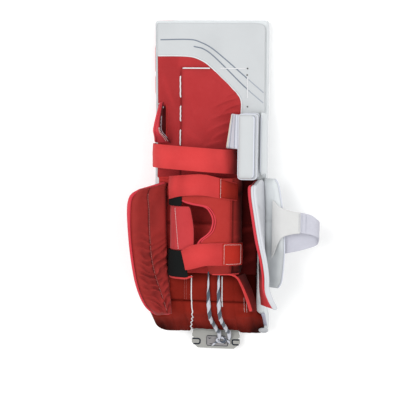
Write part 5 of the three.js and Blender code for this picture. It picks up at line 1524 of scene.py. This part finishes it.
def make_toe():
    """The moulded toe plate with its lugs and patch, and the knot of the laces on it."""
    def on_plate(u, v):
        if v < 0.2:
            rise = 1 - v / 0.2
            base = on_pad(0, TOE_END + 15 * rise, CLEAR)
            meet = toe_point(0, -TOE_THICKNESS, 0)
            spot = meet.lerp(base, smooth(rise, 0, 0.4)) if rise < 0.4 else base
        else:
            spot = toe_point((v - 0.2) / 0.8, -TOE_THICKNESS, 0)
        half = 60 if v < 0.2 else look_up_straight(TOE_OUTLINE, (v - 0.2) / 0.8)
        return Vector((mix(half, -half, u), spot.y, spot.z))

    plate = add_panel("toe_plate_moulding", on_plate, TOE_THICKNESS, TOE_GREY, edge=1.5,
                      thin=0.6, pitch=1.6)
    stand_for(plate, "toe_plate")
    # Painted shade: dark tubes stand for the shade in the plate's moulded grooves
    grooves = []
    for side, hook in ((-1, HOOK_LEFT), (1, HOOK_RIGHT)):
        grooves.append(resample([toe_point(v, 0.1, side * x) for x, v in hook], 2))
    add_tube("toe_grooves", grooves, 2.0, TOE_GROOVE_SHADE, flat=0.5, sides=8, up=(0, 0, 1), ends=0.8)

    def on_patch(u, v):
        narrow = 1 - 0.12 * (1 - rounded(min(v, 1 - v), 0.25))
        return toe_point(mix(0.3, 0.86, v), 0.4, 4.2 - 29 * narrow * (2 * u - 1))

    patch = add_panel("toe_patch_moulding", on_patch, 3, PATCH_GREY, edge=3, thin=0.4,
                      pitch=1.6)
    stand_for(patch, "toe_patch")
    # Painted shade: dark tubes stand for the shade in the slots and in the gap round the patch
    slots = []
    for x, v, length in TOE_SLOTS:
        ends = [toe_point(v, 3.4, x + side * length) for side in (-1, 1)]
        slots.append([ends[0], toe_point(v + 0.03, 3.7, x), ends[1]])
    corners = [(0.03, 0.04), (0.03, 0.96), (0.97, 0.96), (0.97, 0.04), (0.03, 0.04)]
    edge = [on_patch(u, v) + Vector((0, 0, 2.2)) for u, v in places_along(corners, 14)]
    add_tube("toe_slots", [*slots, edge], 1.3, TOE_GROOVE_SHADE, flat=0.5, sides=8, up=(0, 0, 1))

    def on_knot(t):
        angle = 4 * math.pi * t
        spot = toe_point(0.5, 6.5 + 2.6 * math.sin(angle * 1.5), 15 + 11 * math.cos(angle))
        return spot + Vector((0, 6.5 * math.sin(angle), 0))

    knot = trace(on_knot, count=79)
    add_tube("toe_lace_knot", [knot], 3.4, LACE_TWIST, flat=0.7, sides=12, twist=1 / 26)
    tails = [resample([toe_point(*place) for place in tail], 1.5) for tail in LACE_TAILS]
    add_tube("toe_lace_tails", tails, 3.0, LACE_TWIST, flat=0.6, sides=12, twist=1 / 24)


BOOT_STRAP_PLACE = (130, TOE_END + 40)
BOOT_STRAP_WIDTH = 9
BOOT_STRAP_LENGTH = 82
BUCKLE_PLACE = (130, TOE_END + 39)
BUCKLE_BASE = 13.4
BUCKLE_RADIUS = 12.5
BUCKLE_LEVELS = [(0.9, 0), (1, 1), (1, 3.6), (0.93, 4.8), (0.8, 5.7), (0.55, 6), (0.2, 6.1)]


def make_boot_strap():
    """The thin strap down the inner side of the boot and its plastic buckle."""
    def on_strap(u, v):
        x, s = BOOT_STRAP_PLACE
        return on_pad(x + BOOT_STRAP_WIDTH * u, s + BOOT_STRAP_LENGTH * v, CLEAR + 1)

    strap = add_panel("boot_strap_webbing", on_strap, STRAP_THICKNESS, STRAP_GREY, edge=1.2,
                      thin=0.5, pitch=2.5, relief=uneven(0.5, 14, 5))
    stand_for(strap, "boot_strap")
    x, s = BUCKLE_PLACE

    def around(radius, h, turn):
        angle = 2 * math.pi * turn
        return on_pad(x + radius * math.cos(angle), s + radius * math.sin(angle), BUCKLE_BASE + h)

    rings = [[around(BUCKLE_RADIUS * share, h, i / 36) for i in range(36)] for share, h in BUCKLE_LEVELS]
    buckle = add_loft("boot_buckle_moulding", rings, BUCKLE_GREY)
    stand_for(buckle, "boot_buckle")
    rim = [around(8.6, 5.9, i / 24) for i in range(26)]
    bar = [on_pad(x + side * 6, s, BUCKLE_BASE + 6.4) for side in (-1, 1)]
    add_tube("boot_buckle_rim", [rim, bar], 0.9, BUCKLE_GREY, sides=8)


# The camera, the floor and the light
CAMERA_TARGET = Vector((0, 390, 0))
CAMERA_AIM = Vector((-5.5, 307.5, 0))
CAMERA_DISTANCE = 3000
CAMERA_SIDE = math.radians(8)
CAMERA_RISE = math.radians(2.5)
CAMERA_ROLL = math.radians(-0.76)
FOCAL_SHARE = 1200 / 416


def make_camera():
    """The camera at the photograph's angle, with its roll."""
    towards = Vector((
        math.sin(CAMERA_SIDE) * math.cos(CAMERA_RISE),
        math.sin(CAMERA_RISE),
        math.cos(CAMERA_SIDE) * math.cos(CAMERA_RISE),
    ))
    flat_up = (Vector((0, 1, 0)) - towards * towards.y).normalized()
    flat_right = flat_up.cross(towards)
    up = flat_up * math.cos(CAMERA_ROLL) + flat_right * math.sin(CAMERA_ROLL)
    place = CAMERA_TARGET + towards * CAMERA_DISTANCE
    back = (place - CAMERA_AIM).normalized()
    up = (up - back * up.dot(back)).normalized()
    right = up.cross(back)
    turn = PLACE.to_3x3() * 1000
    axes = Matrix([turn @ right, turn @ up, turn @ back]).transposed()
    data = bpy.data.cameras.new("photo_camera")
    data.sensor_width = 36
    data.lens = 36 * FOCAL_SHARE
    camera = bpy.data.objects.new("photo_camera", data)
    camera.matrix_world = Matrix.Translation(PLACE @ place) @ axes.to_4x4()
    bpy.context.scene.collection.objects.link(camera)
    bpy.context.scene.camera = camera


def add_light(name, place, size, power, colour=(1, 1, 1)):
    """A soft square light that looks at the middle of the pad."""
    data = bpy.data.lights.new(name, "AREA")
    data.size = size
    data.energy = power
    data.color = colour
    lamp = bpy.data.objects.new(name, data)
    lamp.location = place
    aim = Vector((0, 0, 0.05)) - Vector(place)
    lamp.rotation_euler = aim.to_track_quat("-Z", "Y").to_euler()
    bpy.context.scene.collection.objects.link(lamp)


def make_studio():
    """A plain pale floor under soft light from above, mostly from the upper left."""
    paper = bpy.data.materials.new("floor_paper")
    paper.use_nodes = True
    shader = paper.node_tree.nodes["Principled BSDF"]
    shader.inputs["Base Color"].default_value = (0.94, 0.94, 0.94, 1)
    shader.inputs["Roughness"].default_value = 0.95
    shader.inputs["Emission Color"].default_value = (1, 1, 1, 1)
    shader.inputs["Emission Strength"].default_value = 0.12
    grain = paper.node_tree.nodes.new("ShaderNodeTexNoise")
    grain.inputs["Scale"].default_value = 300
    bump = paper.node_tree.nodes.new("ShaderNodeBump")
    bump.inputs["Distance"].default_value = 0.0001
    paper.node_tree.links.new(grain.outputs["Fac"], bump.inputs["Height"])
    paper.node_tree.links.new(bump.outputs["Normal"], shader.inputs["Normal"])
    bpy.ops.mesh.primitive_plane_add(size=14, location=(0, 0, -0.0005))
    floor = bpy.context.object
    floor.name = "studio_floor"
    floor.data.materials.append(paper)

    world = bpy.data.worlds.new("studio_world")
    world.use_nodes = True
    background = world.node_tree.nodes["Background"]
    background.inputs["Color"].default_value = (1, 1, 1, 1)
    background.inputs["Strength"].default_value = 0.62
    bpy.context.scene.world = world
    bpy.context.scene.view_settings.view_transform = "Standard"

    add_light("key_light", (-1.4, 1.2, 3.8), 2.2, 92)
    add_light("fill_light", (2.2, 0.2, 3.0), 2.4, 46)


make_camera()
make_studio()
make_board()
make_roll()
make_thigh()
make_knee_block()
make_knee_flap()
make_knee_strap()
make_shin()
make_boot()
make_calf_wraps()
make_web()
make_hook_tabs()
make_calf_straps()
make_outer_wing()
make_inner_wing()
make_wing_flap()
make_side_strap()
make_toe()
make_boot_laces()
make_boot_strap()
